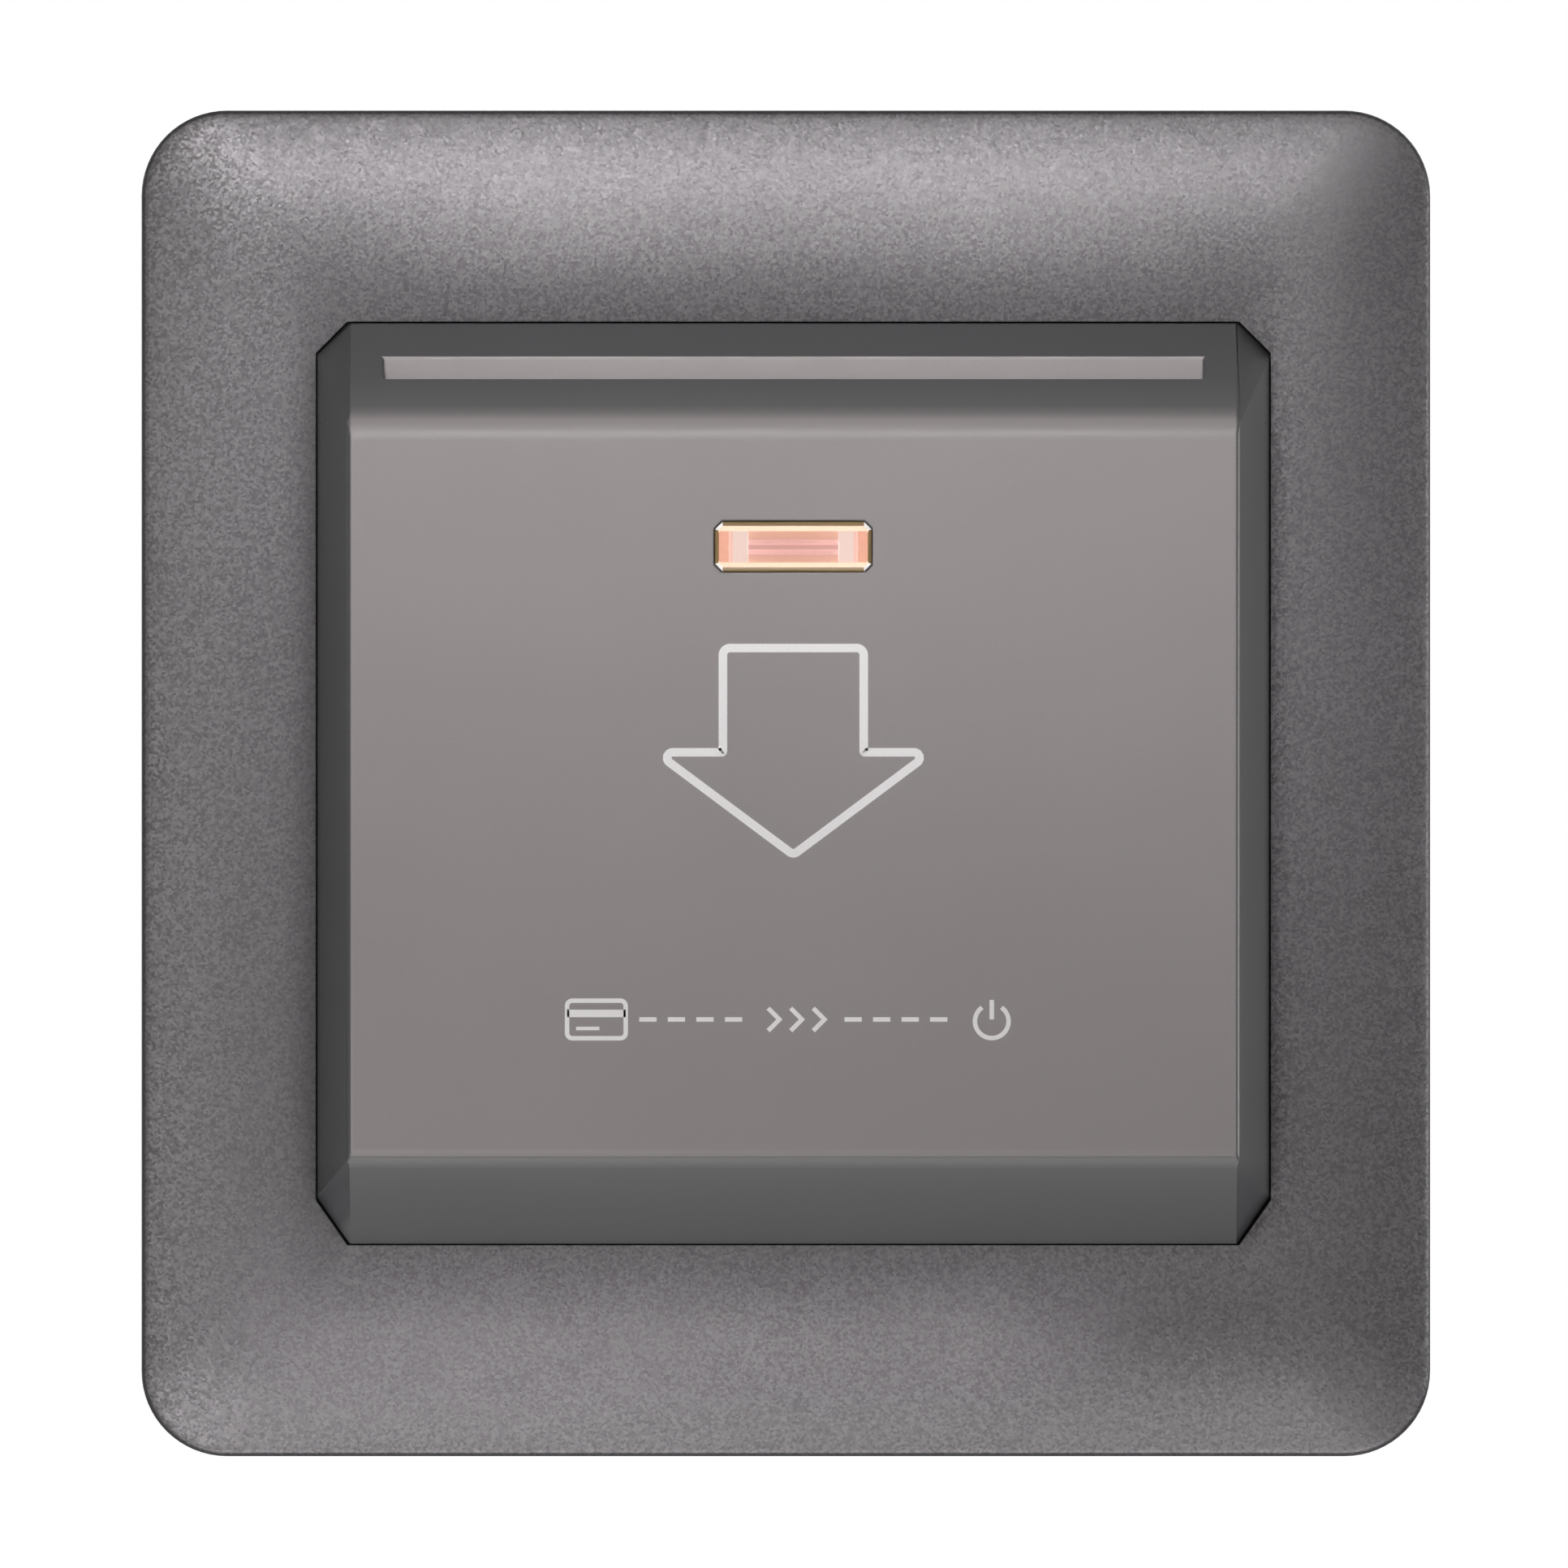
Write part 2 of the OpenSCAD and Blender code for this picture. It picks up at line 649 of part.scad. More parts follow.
// Tray behind the card: rear wall of the slot, card stop, lever bearings and screw bosses
module card_tray() {
  color([0.22, 0.22, 0.23]) stand() difference() {
    union() {
      difference() {
        box([-tray_half, -tray_low, flange_top], [tray_half, tray_top, tray_face]);
        box([tray_wall - tray_half, tray_wall - tray_low, flange_top - over],
            [tray_half - tray_wall, tray_top - tray_wall, tray_back]);
      }
      box([-stop_half, -stop_low, tray_back], [stop_half, stop_t - stop_low, stop_front]);
      for (x = [-boss_x, boss_x], y = [-boss_y, boss_y])
        translate([x, y, flange_top]) cylinder(r = boss_r, h = tray_back - flange_top + lap);
      for (side = [0, 1]) mirror([side, 0, 0]) {
        sideways(ear_in, ear_in + ear_t) {
          translate([pivot_up, pivot_out]) circle(ear_r);
          translate([pivot_up - ear_r, pivot_out]) square([2 * ear_r, tray_back - pivot_out + lap]);
        }
      }
      box([-coil_half - spring_wire, spring_seat - seat_t, pivot_out + spring_r + spring_wire],
          [-coil_half + spring_wire / 2, spring_seat, tray_back + lap]);
      box([-tab_w / 2, blade_up - post_low, case_top + fit],
          [tab_w / 2, blade_up + post_high, tray_back + lap]);
    }
    sideways(-ear_in - ear_t - over, ear_in + ear_t + over)
      translate([pivot_up, pivot_out]) circle(pin_r + fit / 2);
    box([-window_half, window_low, tray_back - lap], [window_half, window_top, tray_face + over]);
    box([-lamp_half, lens_up - lamp_room, tray_back - over],
        [lamp_half, lens_up + lamp_room, tray_face + over]);
    for (x = [-boss_x, boss_x], y = [-boss_y, boss_y]) translate([x, y, flange_top - over])
      cylinder(r = screw_r + fit / 2, h = screw_len - flange_top + over + lap);
    for (side = [-1, 1])
      translate([side * fix_spacing / 2, 0, flange_top - over])
        cylinder(r = fix_head_r, h = tray_face - flange_top + 2 * over);
    for (side = [0, 1], y = [-snap_up, snap_up]) mirror([side, 0, 0])
      box([tray_half - snap_bite - clear, y - snap_len / 2 - clear, snap_low - clear],
          [tray_half + over, y + snap_len / 2 + clear, snap_low + snap_h + clear]);
  }
}

// Base in the wall box: flange, shallow part behind the lamp and deep part round the switch
module base_housing() {
  inner_x = base_w / 2 - base_wall;
  inner_y = base_h / 2 - base_wall;
  color([0.90, 0.90, 0.88]) stand() difference() {
    union() {
      difference() {
        union() {
          translate([0, 0, yoke_t]) linear_extrude(flange_t)
            rounded_rect(holder_w - 2 * flange_inset, holder_h - 2 * flange_inset, corner_low_h);
          translate([0, 0, shelf_back]) linear_extrude(flange_top + shelf_depth)
            rounded_rect(base_w, base_h, base_corner);
          translate([0, (deep_top - base_h / 2) / 2, base_floor]) linear_extrude(base_depth)
            rounded_rect(base_w, deep_top + base_h / 2, base_corner);
        }
        box([-inner_x, -inner_y, shelf_back + base_wall], [inner_x, inner_y, flange_top + over]);
        box([-inner_x, -inner_y, base_floor + base_wall], [inner_x, deep_top - base_wall, flange_top]);
      }
      for (side = [0, 1]) mirror([side, 0, 0])
        box([switch_t / 2 + fit, plunger_up - cheek_low, base_floor + lap],
            [switch_t / 2 + fit + cheek_t, plunger_up - cheek_high, case_top - cheek_drop]);
      box([-switch_t / 2, case_lower, base_floor + lap], [switch_t / 2, case_lower + support_t, case_floor]);
      box([-switch_t / 2 - fit, plunger_up - support_low, base_floor + lap],
          [switch_t / 2 + fit, plunger_up - support_high, case_floor]);
    }
    for (x = bays) translate([x, lens_up, shelf_back - over])
      cylinder(r = peg_r + fit, h = base_wall + 2 * over);
    for (x = [-bay_pitch, 0])
      box([x - tab_t / 2 - fit, deep_top - base_wall - over, strap_low - fit],
          [x + tab_t / 2 + fit, deep_top + over, strap_low + strap_h + fit]);
    for (side = [0, 1]) mirror([side, 0, 0]) {
      translate([fix_spacing / 2, 0, yoke_t - over]) cylinder(r = fix_head_r, h = flange_t + 2 * over);
      box([fix_spacing / 2, -fix_head_r, yoke_t - over], [holder_w / 2, fix_head_r, flange_top + over]);
    }
    for (x = [-boss_x, boss_x], y = [-boss_y, boss_y]) translate([x, y, 0]) {
      translate([0, 0, yoke_t - over]) cylinder(r = screw_r + fit, h = flange_t + 2 * over);
      translate([0, 0, base_floor - over]) cylinder(r = screw_pad_r + clear, h = base_depth + yoke_t + over);
    }
  }
}

// Straight bar between two points of an outline
module bar(a, b, t) {
  side = [a.y - b.y, b.x - a.x] / norm(b - a) * t / 2;
  polygon([a + side, a - side, b - side, b + side]);
}

// Lever that the card pushes back, with its nose in front and the switch pad behind
module card_lever() {
  pivot = [pivot_up, pivot_out];
  nose = [nose_up, nose_out];
  press = [plunger_up, pivot_out];
  color([0.86, 0.85, 0.80]) stand() difference() {
    union() {
      sideways(-lever_w / 2, lever_w / 2) {
        translate(pivot) circle(hub_r);
        bar(pivot, nose, arm_t);
        translate(nose) circle(nose_r);
      }
      sideways(-press_half, press_half) {
        translate(press) circle(press_r);
        bar(press, press + [0, arm_rise * press_arm / nose_drop], 2 * press_r);
      }
    }
    sideways(-lever_w, lever_w) translate(pivot) circle(pin_r + pin_play);
    sideways(-coil_gap_half, coil_gap_half) translate(pivot) circle(coil_room);
  }
}

// Pin that the lever turns on
module lever_pin() {
  color([0.80, 0.80, 0.82]) stand()
    sideways(-ear_in - ear_t, ear_in + ear_t) translate([pivot_up, pivot_out]) circle(pin_r);
}

// Path of the lever's spring: leg on the tray, turns round the pin, leg along the lever
coil_rings = 8;
coil_exit = [
  coil_half, pivot_up + spring_r * cos(360 * exit_turn), pivot_out - spring_r * sin(360 * exit_turn)
];
spring_path = concat(
  [[-coil_half, pivot_up + spring_r, tray_back - spring_wire / 2]],
  [for (i = [0 : floor(exit_turn * coil_rings)])
    let (turn = i / coil_rings, x = coil_half * (2 * turn / exit_turn - 1))
    [x, pivot_up + spring_r * cos(360 * turn), pivot_out - spring_r * sin(360 * turn)]],
  [coil_exit, coil_exit + spring_leg * [0, -cos(arm_angle), sin(arm_angle)]]
);
spring_self_gap = min([
  for (i = [0 : len(spring_path) - 1], j = [i + coil_rings / 2 : 1 : len(spring_path) - 1])
    norm(spring_path[i] - spring_path[j])
]) - spring_wire;

// Round tube along a path that winds round the x axis
module coiled_tube(path, r, sides) {
  last = len(path) - 1;
  function unit(v) = v / norm(v);
  function along(i) = unit(path[min(i + 1, last)] - path[max(i - 1, 0)]);
  rings = [for (i = [0 : last])
    let (t = along(i), u = unit(cross(t, [1, 0, 0])), v = cross(t, u))
    for (k = [0 : sides - 1]) path[i] + r * (cos(360 * k / sides) * u + sin(360 * k / sides) * v)];
  walls = [for (i = [0 : last - 1], k = [0 : sides - 1])
    let (a = i * sides + k, b = i * sides + (k + 1) % sides)
    each [[a, a + sides, b], [b, a + sides, b + sides]]];
  tip = last * sides;
  ends = [for (k = [1 : sides - 2]) each [[0, k, k + 1], [tip, tip + k + 1, tip + k]]];
  polyhedron(rings, concat(walls, ends), convexity = 8);
}

// Torsion spring that holds the lever out
module lever_spring() {
  echo(spring_self_gap = spring_self_gap);
  color([0.75, 0.75, 0.77]) stand() coiled_tube(spring_path, spring_wire / 2, 6);
}

// Box of the switch, open on its right side
module switch_case() {
  color([0.12, 0.12, 0.13]) stand() difference() {
    box([-switch_t / 2, case_lower, case_floor], [lid_x, case_upper, case_top]);
    box([switch_wall - switch_t / 2, case_lower + switch_wall, case_floor + switch_wall],
        [lid_x + over, case_upper - switch_wall, case_top - switch_wall]);
    translate([0, plunger_up, case_top - switch_wall - over])
      cylinder(r = plunger_r + fit, h = switch_wall + 2 * over);
    for (y = [blade_up, contact_up])
      box([-tab_w / 2 - fit, y - tab_t / 2 - fit, case_floor - over],
          [tab_w / 2 + fit, y + tab_t / 2 + fit, case_floor + switch_wall + over]);
  }
}

// Lid that closes the switch
module switch_lid() {
  color([0.75, 0.20, 0.16]) stand()
    box([lid_x, case_lower, case_floor], [switch_t / 2, case_upper, case_top]);
}

// Plunger that the lever presses, held in by its collar
module switch_plunger() {
  collar_top = case_top - switch_wall - clear;
  color([0.92, 0.90, 0.84]) stand() translate([0, plunger_up, 0]) {
    translate([0, 0, plunger_foot]) cylinder(r = plunger_r, h = plunger_tip - plunger_foot);
    translate([0, 0, collar_top - collar_t]) cylinder(r = collar_r, h = collar_t);
  }
}

// Blade that the plunger bends back, rolled round its pivot
module contact_blade() {
  color([0.80, 0.55, 0.32]) stand() sideways(-blade_w / 2, blade_w / 2) {
    translate([blade_up, blade_out]) circle(blade_root_r);
    translate([blade_up, blade_out - blade_t / 2]) square([blade_end - blade_up, blade_t]);
  }
}

// Contact on the blade
module moving_contact() {
  color([0.85, 0.85, 0.86]) stand() translate([0, contact_up, contact_back])
    cylinder(r = contact_r, h = contact_t);
}

// Contact that the blade meets
module fixed_contact() {
  color([0.85, 0.85, 0.86]) stand() translate([0, contact_up, fixed_face - contact_t])
    cylinder(r = contact_r, h = contact_t);
}

// Metal tab that carries the blade
module common_tab() {
  color([0.82, 0.66, 0.36]) stand()
    box([-tab_w / 2, blade_up - tab_t / 2, tab_low],
        [tab_w / 2, blade_up + tab_t / 2, blade_out - blade_root_r - clear]);
}

// Metal tab that carries the fixed contact
module output_tab() {
  head = fixed_face - contact_t;
  color([0.82, 0.66, 0.36]) stand() {
    box([-tab_w / 2, contact_up - tab_t / 2, tab_low], [tab_w / 2, contact_up + tab_t / 2, head - tab_t / 2]);
    box([-tab_w / 2, contact_up - contact_r, head - tab_t], [tab_w / 2, contact_up + contact_r, head]);
  }
}

// Strap from the supply terminal to the blade's tab
module supply_strap() {
  low = blade_up + tab_t / 2;
  color([0.80, 0.62, 0.32]) stand() {
    box([-bay_pitch - tab_t / 2, low, strap_low], [tab_w / 2, low + tab_t, strap_low + strap_h]);
    box([-bay_pitch - tab_t / 2, low, strap_low], [tab_t / 2 - bay_pitch, block_up, strap_low + strap_h]);
  }
}

// Strap from the output terminal to the fixed contact's tab
module output_strap() {
  color([0.80, 0.62, 0.32]) stand()
    box([-tab_t / 2, contact_up + tab_t / 2, strap_low], [tab_t / 2, block_up, strap_low + strap_h]);
}

// Carrier with a wall on each side of every terminal
module terminal_carrier() {
  color([0.16, 0.16, 0.17]) stand() difference() {
    union() {
      box([-base_w / 2, deep_top, carrier_back], [base_w / 2, base_h / 2, shelf_back]);
      for (x = barriers)
        box([x - barrier_t / 2, deep_top, barrier_back], [x + barrier_t / 2, base_h / 2, carrier_back + lap]);
    }
    for (x = bays) translate([x, lens_up, carrier_back - over])
      cylinder(r = peg_r + fit, h = carrier_t + 2 * over);
  }
}

// Brass block with a wire entry, a clamp hole and the peg that holds it
module terminal_block(x) {
  color([0.83, 0.66, 0.34]) stand() translate([x, lens_up, 0]) difference() {
    union() {
      box([-block_w / 2, -block_h / 2, block_back], [block_w / 2, block_h / 2, carrier_back]);
      translate([0, 0, carrier_back - lap]) cylinder(r = peg_r, h = peg_top - carrier_back + lap);
    }
    translate([0, block_h / 2 + over, wire_out]) rotate([90, 0, 0])
      cylinder(r = wire_r, h = block_h + 2 * over);
    translate([0, 0, block_back - over]) cylinder(r = clamp_r + fit, h = wire_out - block_back + over);
  }
}

module supply_terminal() {
  terminal_block(bays[0]);
}

module output_terminal() {
  terminal_block(bays[1]);
}

module neutral_terminal() {
  terminal_block(bays[2]);
}

// Clamp screws, backed out so that a wire can enter
module terminal_screws() {
  slot_t = 0.9;
  color([0.80, 0.80, 0.82]) stand() for (x = bays)
    translate([x, lens_up, clamp_top - clamp_head_h]) difference() {
      union() {
        cylinder(r = clamp_head_r, h = clamp_head_h);
        cylinder(r = clamp_r, h = clamp_head_h + clamp_len);
      }
      translate([-clamp_head_r - over, -slot_t / 2, -over])
        cube([2 * clamp_head_r + 2 * over, slot_t, over + clamp_head_h / 2]);
    }
}

// Glass tube of the neon lamp
module lamp_tube() {
  color([0.92, 0.86, 0.84, 0.5]) stand() translate([0, lens_up, tube_out]) rotate([0, 90, 0]) difference() {
    cylinder(r = tube_r, h = tube_len, center = true);
    cylinder(r = tube_r - tube_wall, h = tube_len + 2 * over, center = true);
  }
}

// Two electrodes, each on the seal that closes one end of the tube
module lamp_electrodes() {
  seal_t = 0.9;
  color([0.85, 0.62, 0.52]) stand() translate([0, lens_up, tube_out])
    for (side = [0, 1]) mirror([side, 0, 0]) {
      rod([tube_len / 2 - seal_t, 0, 0], [tube_len / 2, 0, 0], tube_r - tube_wall - fit / 2);
      translate([0, (0.5 - side) * electrode_pitch, 0])
        rod([-post_gap / 2, 0, 0], [tube_len / 2 - seal_t / 2, 0, 0], electrode_r);
    }
}

// White holder whose two posts carry the tube behind the tray's opening
module lamp_holder() {
  leg_in = lamp_room + lap;
  leg_out = leg_in + lamp_leg_t;
  color([0.95, 0.94, 0.91]) stand() translate([0, lens_up, 0]) difference() {
    union() {
      box([-lamp_holder_half, -leg_out, lamp_floor], [lamp_holder_half, leg_out, lamp_floor + lamp_holder_t]);
      for (side = [0, 1]) mirror([0, side, 0])
        box([-lamp_holder_half, leg_in, lamp_floor], [lamp_holder_half, leg_out, tray_back]);
      for (side = [0, 1]) mirror([side, 0, 0])
        box([post_gap / 2, -tube_r - post_side, lamp_floor],
            [lamp_holder_half, tube_r + post_side, tray_face - post_side]);
    }
    translate([0, 0, tube_out]) rotate([0, 90, 0])
      cylinder(r = tube_r + fit / 2, h = 2 * tube_len, center = true);
  }
}

// Resistor in the lamp's supply lead
module lamp_resistor() {
  color([0.78, 0.66, 0.48]) stand()
    rod([-resistor_mid - resistor_len / 2, lens_up, lead_out],
        [resistor_len / 2 - resistor_mid, lens_up, lead_out], resistor_r);
}

// Bare lead from one end of the tube to the top of a terminal's peg
function lead_route(side) = [
  [side * tube_len / 2, lens_up, tube_out], [side * lead_turn, lens_up, tube_out],
  [side * lead_turn, lens_up, lead_out], [side * bay_pitch, lens_up, lead_out],
  [side * bay_pitch, lens_up, peg_top]
];

module lamp_lead_supply() {
  route = lead_route(-1);
  color([0.80, 0.78, 0.76]) stand() {
    wire([route[0], route[1], route[2], [resistor_len / 2 - resistor_mid, lens_up, lead_out]], lead_r);
    wire([[-resistor_mid - resistor_len / 2, lens_up, lead_out], route[3], route[4]], lead_r);
  }
}

module lamp_lead_neutral() {
  color([0.80, 0.78, 0.76]) stand() wire(lead_route(1), lead_r);
}

outer_plate();
mounting_yoke();
front_cover();
lamp_window();
card_tray();
base_housing();
assembly_screws();
card_lever();
lever_pin();
lever_spring();
switch_case();
switch_lid();
switch_plunger();
contact_blade();
moving_contact();
fixed_contact();
common_tab();
output_tab();
supply_strap();
output_strap();
terminal_carrier();
supply_terminal();
output_terminal();
neutral_terminal();
terminal_screws();
lamp_tube();
lamp_electrodes();
lamp_holder();
lamp_resistor();
lamp_lead_supply();
lamp_lead_neutral();
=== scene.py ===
import math

import bmesh
import bpy
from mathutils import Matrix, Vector


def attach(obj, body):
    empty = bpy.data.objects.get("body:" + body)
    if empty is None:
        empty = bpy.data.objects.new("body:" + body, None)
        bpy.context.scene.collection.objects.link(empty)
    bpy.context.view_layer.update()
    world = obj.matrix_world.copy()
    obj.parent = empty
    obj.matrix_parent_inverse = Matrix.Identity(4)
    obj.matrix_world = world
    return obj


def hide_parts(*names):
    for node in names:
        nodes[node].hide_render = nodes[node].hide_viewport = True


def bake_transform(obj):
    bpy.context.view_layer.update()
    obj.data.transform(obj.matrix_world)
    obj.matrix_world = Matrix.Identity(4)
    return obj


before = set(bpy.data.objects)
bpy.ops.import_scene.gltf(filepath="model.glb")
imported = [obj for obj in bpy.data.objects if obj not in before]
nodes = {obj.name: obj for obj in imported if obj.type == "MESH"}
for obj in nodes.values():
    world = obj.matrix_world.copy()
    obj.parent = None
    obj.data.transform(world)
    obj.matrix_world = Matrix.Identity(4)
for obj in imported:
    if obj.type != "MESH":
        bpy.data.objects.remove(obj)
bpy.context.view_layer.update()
scene = bpy.context.scene
scene.view_settings.view_transform = "Standard"
mm = 0.001
tiny = 1e-9
# places that several pieces share, in millimetres
lampUp, lampOut, leadOut, clampAcross = 15.75, 10.3, 8.75, 15.3333
pivot = {"up": 4, "out": 5.5}


def at(across, up, out):  # millimetres across, up the wall and out of it
    return Vector((across, -out, up)) * mm


def pick(size, names):  # several sizes by name
    return [size[name] for name in names.split()]


def linked(name, data):  # new object in the scene
    made = bpy.data.objects.new(name, data)
    scene.collection.objects.link(made)
    return made


# camera: straight on, from far away

photoView = {"width": 104.63, "across": -0.62, "up": -0.04, "level": 6.9, "distance": 4000, "sensor": 36,
             "clip": (0.1, 60)}


def setCamera(size):
    data = bpy.data.cameras.new("frontCamera")
    data.sensor_width = size["sensor"]
    data.lens = size["sensor"] * size["distance"] / size["width"]
    data.clip_start, data.clip_end = size["clip"]
    camera = linked("frontCamera", data)
    camera.location = at(size["across"], size["up"], size["level"] + size["distance"])
    camera.rotation_euler = (math.pi / 2, 0, 0)
    scene.camera = camera


setCamera(photoView)
print("camera set")


# node helpers, for shaders and geometry

socketKinds = {float: "Float", int: "Int", tuple: "Vector"}
mixPlaces = {"mask": 0, "under": 6, "over": 7, "result": 2}  # a mix node's sockets for colours


def newTree(name, family, inputs, outputs):  # an input is given by its value, or by its kind alone
    tree = bpy.data.node_groups.new(name, family)
    for label, value in inputs.items():
        kind = value if isinstance(value, str) else socketKinds[type(value)]
        socket = tree.interface.new_socket(label, in_out="INPUT", socket_type="NodeSocket" + kind)
        if kind != value:
            socket.default_value = value
    for label, kind in outputs.items():
        tree.interface.new_socket(label, in_out="OUTPUT", socket_type="NodeSocket" + kind)
    return tree, tree.nodes.new("NodeGroupInput").outputs, tree.nodes.new("NodeGroupOutput").inputs


def treeOf(*values):  # the tree of the first socket
    return next(value.id_data for value in values if isinstance(value, bpy.types.NodeSocket))


def feed(socket, value):  # a link from another socket, or a plain value
    if isinstance(value, bpy.types.NodeSocket):
        treeOf(socket).links.new(value, socket)
    elif value is not None:
        socket.default_value = value


def node(tree, kind, **settings):  # settings are the node's properties or its inputs
    made = tree.nodes.new(kind)
    for key, value in settings.items():
        if hasattr(made, key):
            setattr(made, key, value)
        else:
            feed(made.inputs[key.replace("_", " ")], value)
    return made


def maths(operation, first, second=None, kind="ShaderNodeMath"):
    made = node(treeOf(first, second), kind, operation=operation)
    feed(made.inputs[0], first)
    feed(made.inputs[1], second)
    return made.outputs[0]


def vectorMaths(operation, first, second=None):
    return maths(operation, first, second, "ShaderNodeVectorMath")


def product(first, *others):
    for other in others:
        first = maths("MULTIPLY", first, other)
    return first


def mapped(value, low, high, toLow=0.0, toHigh=1.0):
    return node(treeOf(value), "ShaderNodeMapRange", Value=value, From_Min=low, From_Max=high, To_Min=toLow,
                To_Max=toHigh).outputs[0]


def banded(value, ends, *shares):  # the same between two places in millimetres
    return mapped(value, ends[0] * mm, ends[1] * mm, *shares)


def noise(vector, scale, detail=2.0):
    return node(treeOf(vector), "ShaderNodeTexNoise", Vector=vector, Scale=scale, Detail=detail).outputs["Fac"]


def toned(colour, tone):
    tree = treeOf(colour, tone)
    return node(tree, "ShaderNodeVectorMath", operation="SCALE", Vector=colour, Scale=tone).outputs[0]


def mixed(mask, under, over):  # two colours by a mask
    mix = node(treeOf(mask), "ShaderNodeMix", data_type="RGBA")
    for place, value in (("mask", mask), ("under", under), ("over", over)):
        feed(mix.inputs[mixPlaces[place]], (*value, 1) if isinstance(value, tuple) else value)
    return mix.outputs[mixPlaces["result"]]


def spotOf(tree, label="Object"):
    return node(tree, "ShaderNodeTexCoord").outputs[label]


def axes(vector):  # its x, y and z
    return node(treeOf(vector), "ShaderNodeSeparateXYZ", Vector=vector).outputs


# shader groups, shared by the finishes

grainOutputs = {"Tone": "Float", "Roughness": "Float", "Height": "Float"}
mouldBands = {"tone": (0.3, 0.7), "rough": (0.35, 0.65), "share": 0.5, "patchDetail": 3}
rolledBands = {"tone": (0.6, 1.4), "rough": (0.7, 1.3), "lineDetail": 3, "patchDetail": 4}
wearBands = {"inputs": {"Amount": 0.5, "Patch Scale": 700.0}, "place": (0.52, 0.62), "patchy": (0.4, 0.65), "detail": 4}
dustBands = {"inputs": {"Amount": 0.2, "Patch Scale": 500.0}, "place": (0.35, 1.0), "patchy": (0.3, 0.75, 0.2, 1.0),
             "detail": 5}


def toneEnds(ins):
    return [maths(way, 1.0, ins["Tone Spread"]) for way in ("SUBTRACT", "ADD")]


def buildMouldGrain(size):  # fine moulded texture with slow patches of tone
    tree, ins, outs = newTree("mouldGrain", "ShaderNodeTree",
                              {"Grain Scale": 5000.0, "Patch Scale": 60.0, "Tone Spread": 0.05,
                               "Roughness Low": 0.38, "Roughness High": 0.5}, grainOutputs)
    spot = spotOf(tree)
    fine = noise(spot, ins["Grain Scale"])
    patch = noise(spot, ins["Patch Scale"], size["patchDetail"])
    ends = toneEnds(ins)
    slow, quick = (mapped(grain, *size["tone"], *ends) for grain in (patch, fine))
    both = maths("ADD", *(maths("MULTIPLY", grain, size["share"]) for grain in (fine, patch)))
    feed(outs["Tone"], product(slow, quick))
    feed(outs["Roughness"], mapped(both, *size["rough"], ins["Roughness Low"], ins["Roughness High"]))
    feed(outs["Height"], fine)
    return tree


def buildRolledMetal(size):  # drawn-out lines of rolled or turned metal, with dull patches
    tree, ins, outs = newTree("rolledMetal", "ShaderNodeTree",
                              {"Line Scale": 900.0, "Stretch": (1, 1, 0.08), "Patch Scale": 150.0,
                               "Tone Spread": 0.08, "Roughness Low": 0.22, "Roughness High": 0.4}, grainOutputs)
    spot = spotOf(tree)
    drawn = vectorMaths("MULTIPLY", spot, ins["Stretch"])
    lines = noise(drawn, ins["Line Scale"], size["lineDetail"])
    both = maths("ADD", lines, noise(spot, ins["Patch Scale"], size["patchDetail"]))
    feed(outs["Tone"], mapped(both, *size["tone"], *toneEnds(ins)))
    feed(outs["Roughness"], mapped(both, *size["rough"], ins["Roughness Low"], ins["Roughness High"]))
    feed(outs["Height"], lines)
    return tree


def buildMask(name, size, placeOf):  # broken up by noise
    tree, ins, outs = newTree(name, "ShaderNodeTree", size["inputs"], {"Mask": "Float"})
    place = mapped(placeOf(node(tree, "ShaderNodeNewGeometry").outputs), *size["place"])
    patchy = mapped(noise(spotOf(tree), ins["Patch Scale"], size["detail"]), *size["patchy"])
    feed(outs["Mask"], product(place, patchy, ins["Amount"]))
    return tree


def alongEdges(shape):
    return shape["Pointiness"]


def facingUp(shape):
    return axes(shape["Normal"])["Z"]


groups = {"mould": buildMouldGrain(mouldBands), "rolled": buildRolledMetal(rolledBands),
          "wear": buildMask("edgeWear", wearBands, alongEdges),
          "dust": buildMask("settledDust", dustBands, facingUp)}


# finishes

dustColour = (0.45, 0.43, 0.4)
bumpShare = 0.35


def placeGroup(tree, name, values):
    made = node(tree, "ShaderNodeGroup", node_tree=groups[name])
    for label, value in values.items():
        made.inputs[label].default_value = value
    return made.outputs


def blank(name, plain):
    material = bpy.data.materials.new(name)
    material.use_nodes = True
    shader = material.node_tree.nodes["Principled BSDF"]
    for label, value in plain.items():
        shader.inputs[label].default_value = value
    return material, material.node_tree, shader.inputs


def dress(shader, paint, grain, relief):  # colour, roughness and fine relief
    bump = node(treeOf(paint), "ShaderNodeBump", Strength=bumpShare, Distance=relief * mm, Height=grain["Height"])
    feed(shader["Base Color"], paint)
    feed(shader["Roughness"], grain["Roughness"])
    feed(shader["Normal"], bump.outputs[0])


def finish(name, colour, kind, values, relief, wear=None, dust=None, **plain):  # wear is a colour and an amount
    material, tree, shader = blank(name, {key.replace("_", " "): value for key, value in plain.items()})
    grain = placeGroup(tree, kind, values)
    paint = toned(colour, grain["Tone"])
    if wear:
        paint = mixed(placeGroup(tree, "wear", {"Amount": wear[1]})["Mask"], paint, wear[0])
    if dust:
        paint = mixed(placeGroup(tree, "dust", {"Amount": dust})["Mask"], paint, dustColour)
    dress(shader, paint, grain, relief)
    return material


def mouldValues(rough, spread=0.05, scale=5200):
    return {"Grain Scale": scale, "Tone Spread": spread, "Roughness Low": rough[0], "Roughness High": rough[1]}


def moulded(name, colour, rough, relief, spread=0.035, **more):
    return finish(name, colour, "mould", mouldValues(rough, spread), relief, **more)


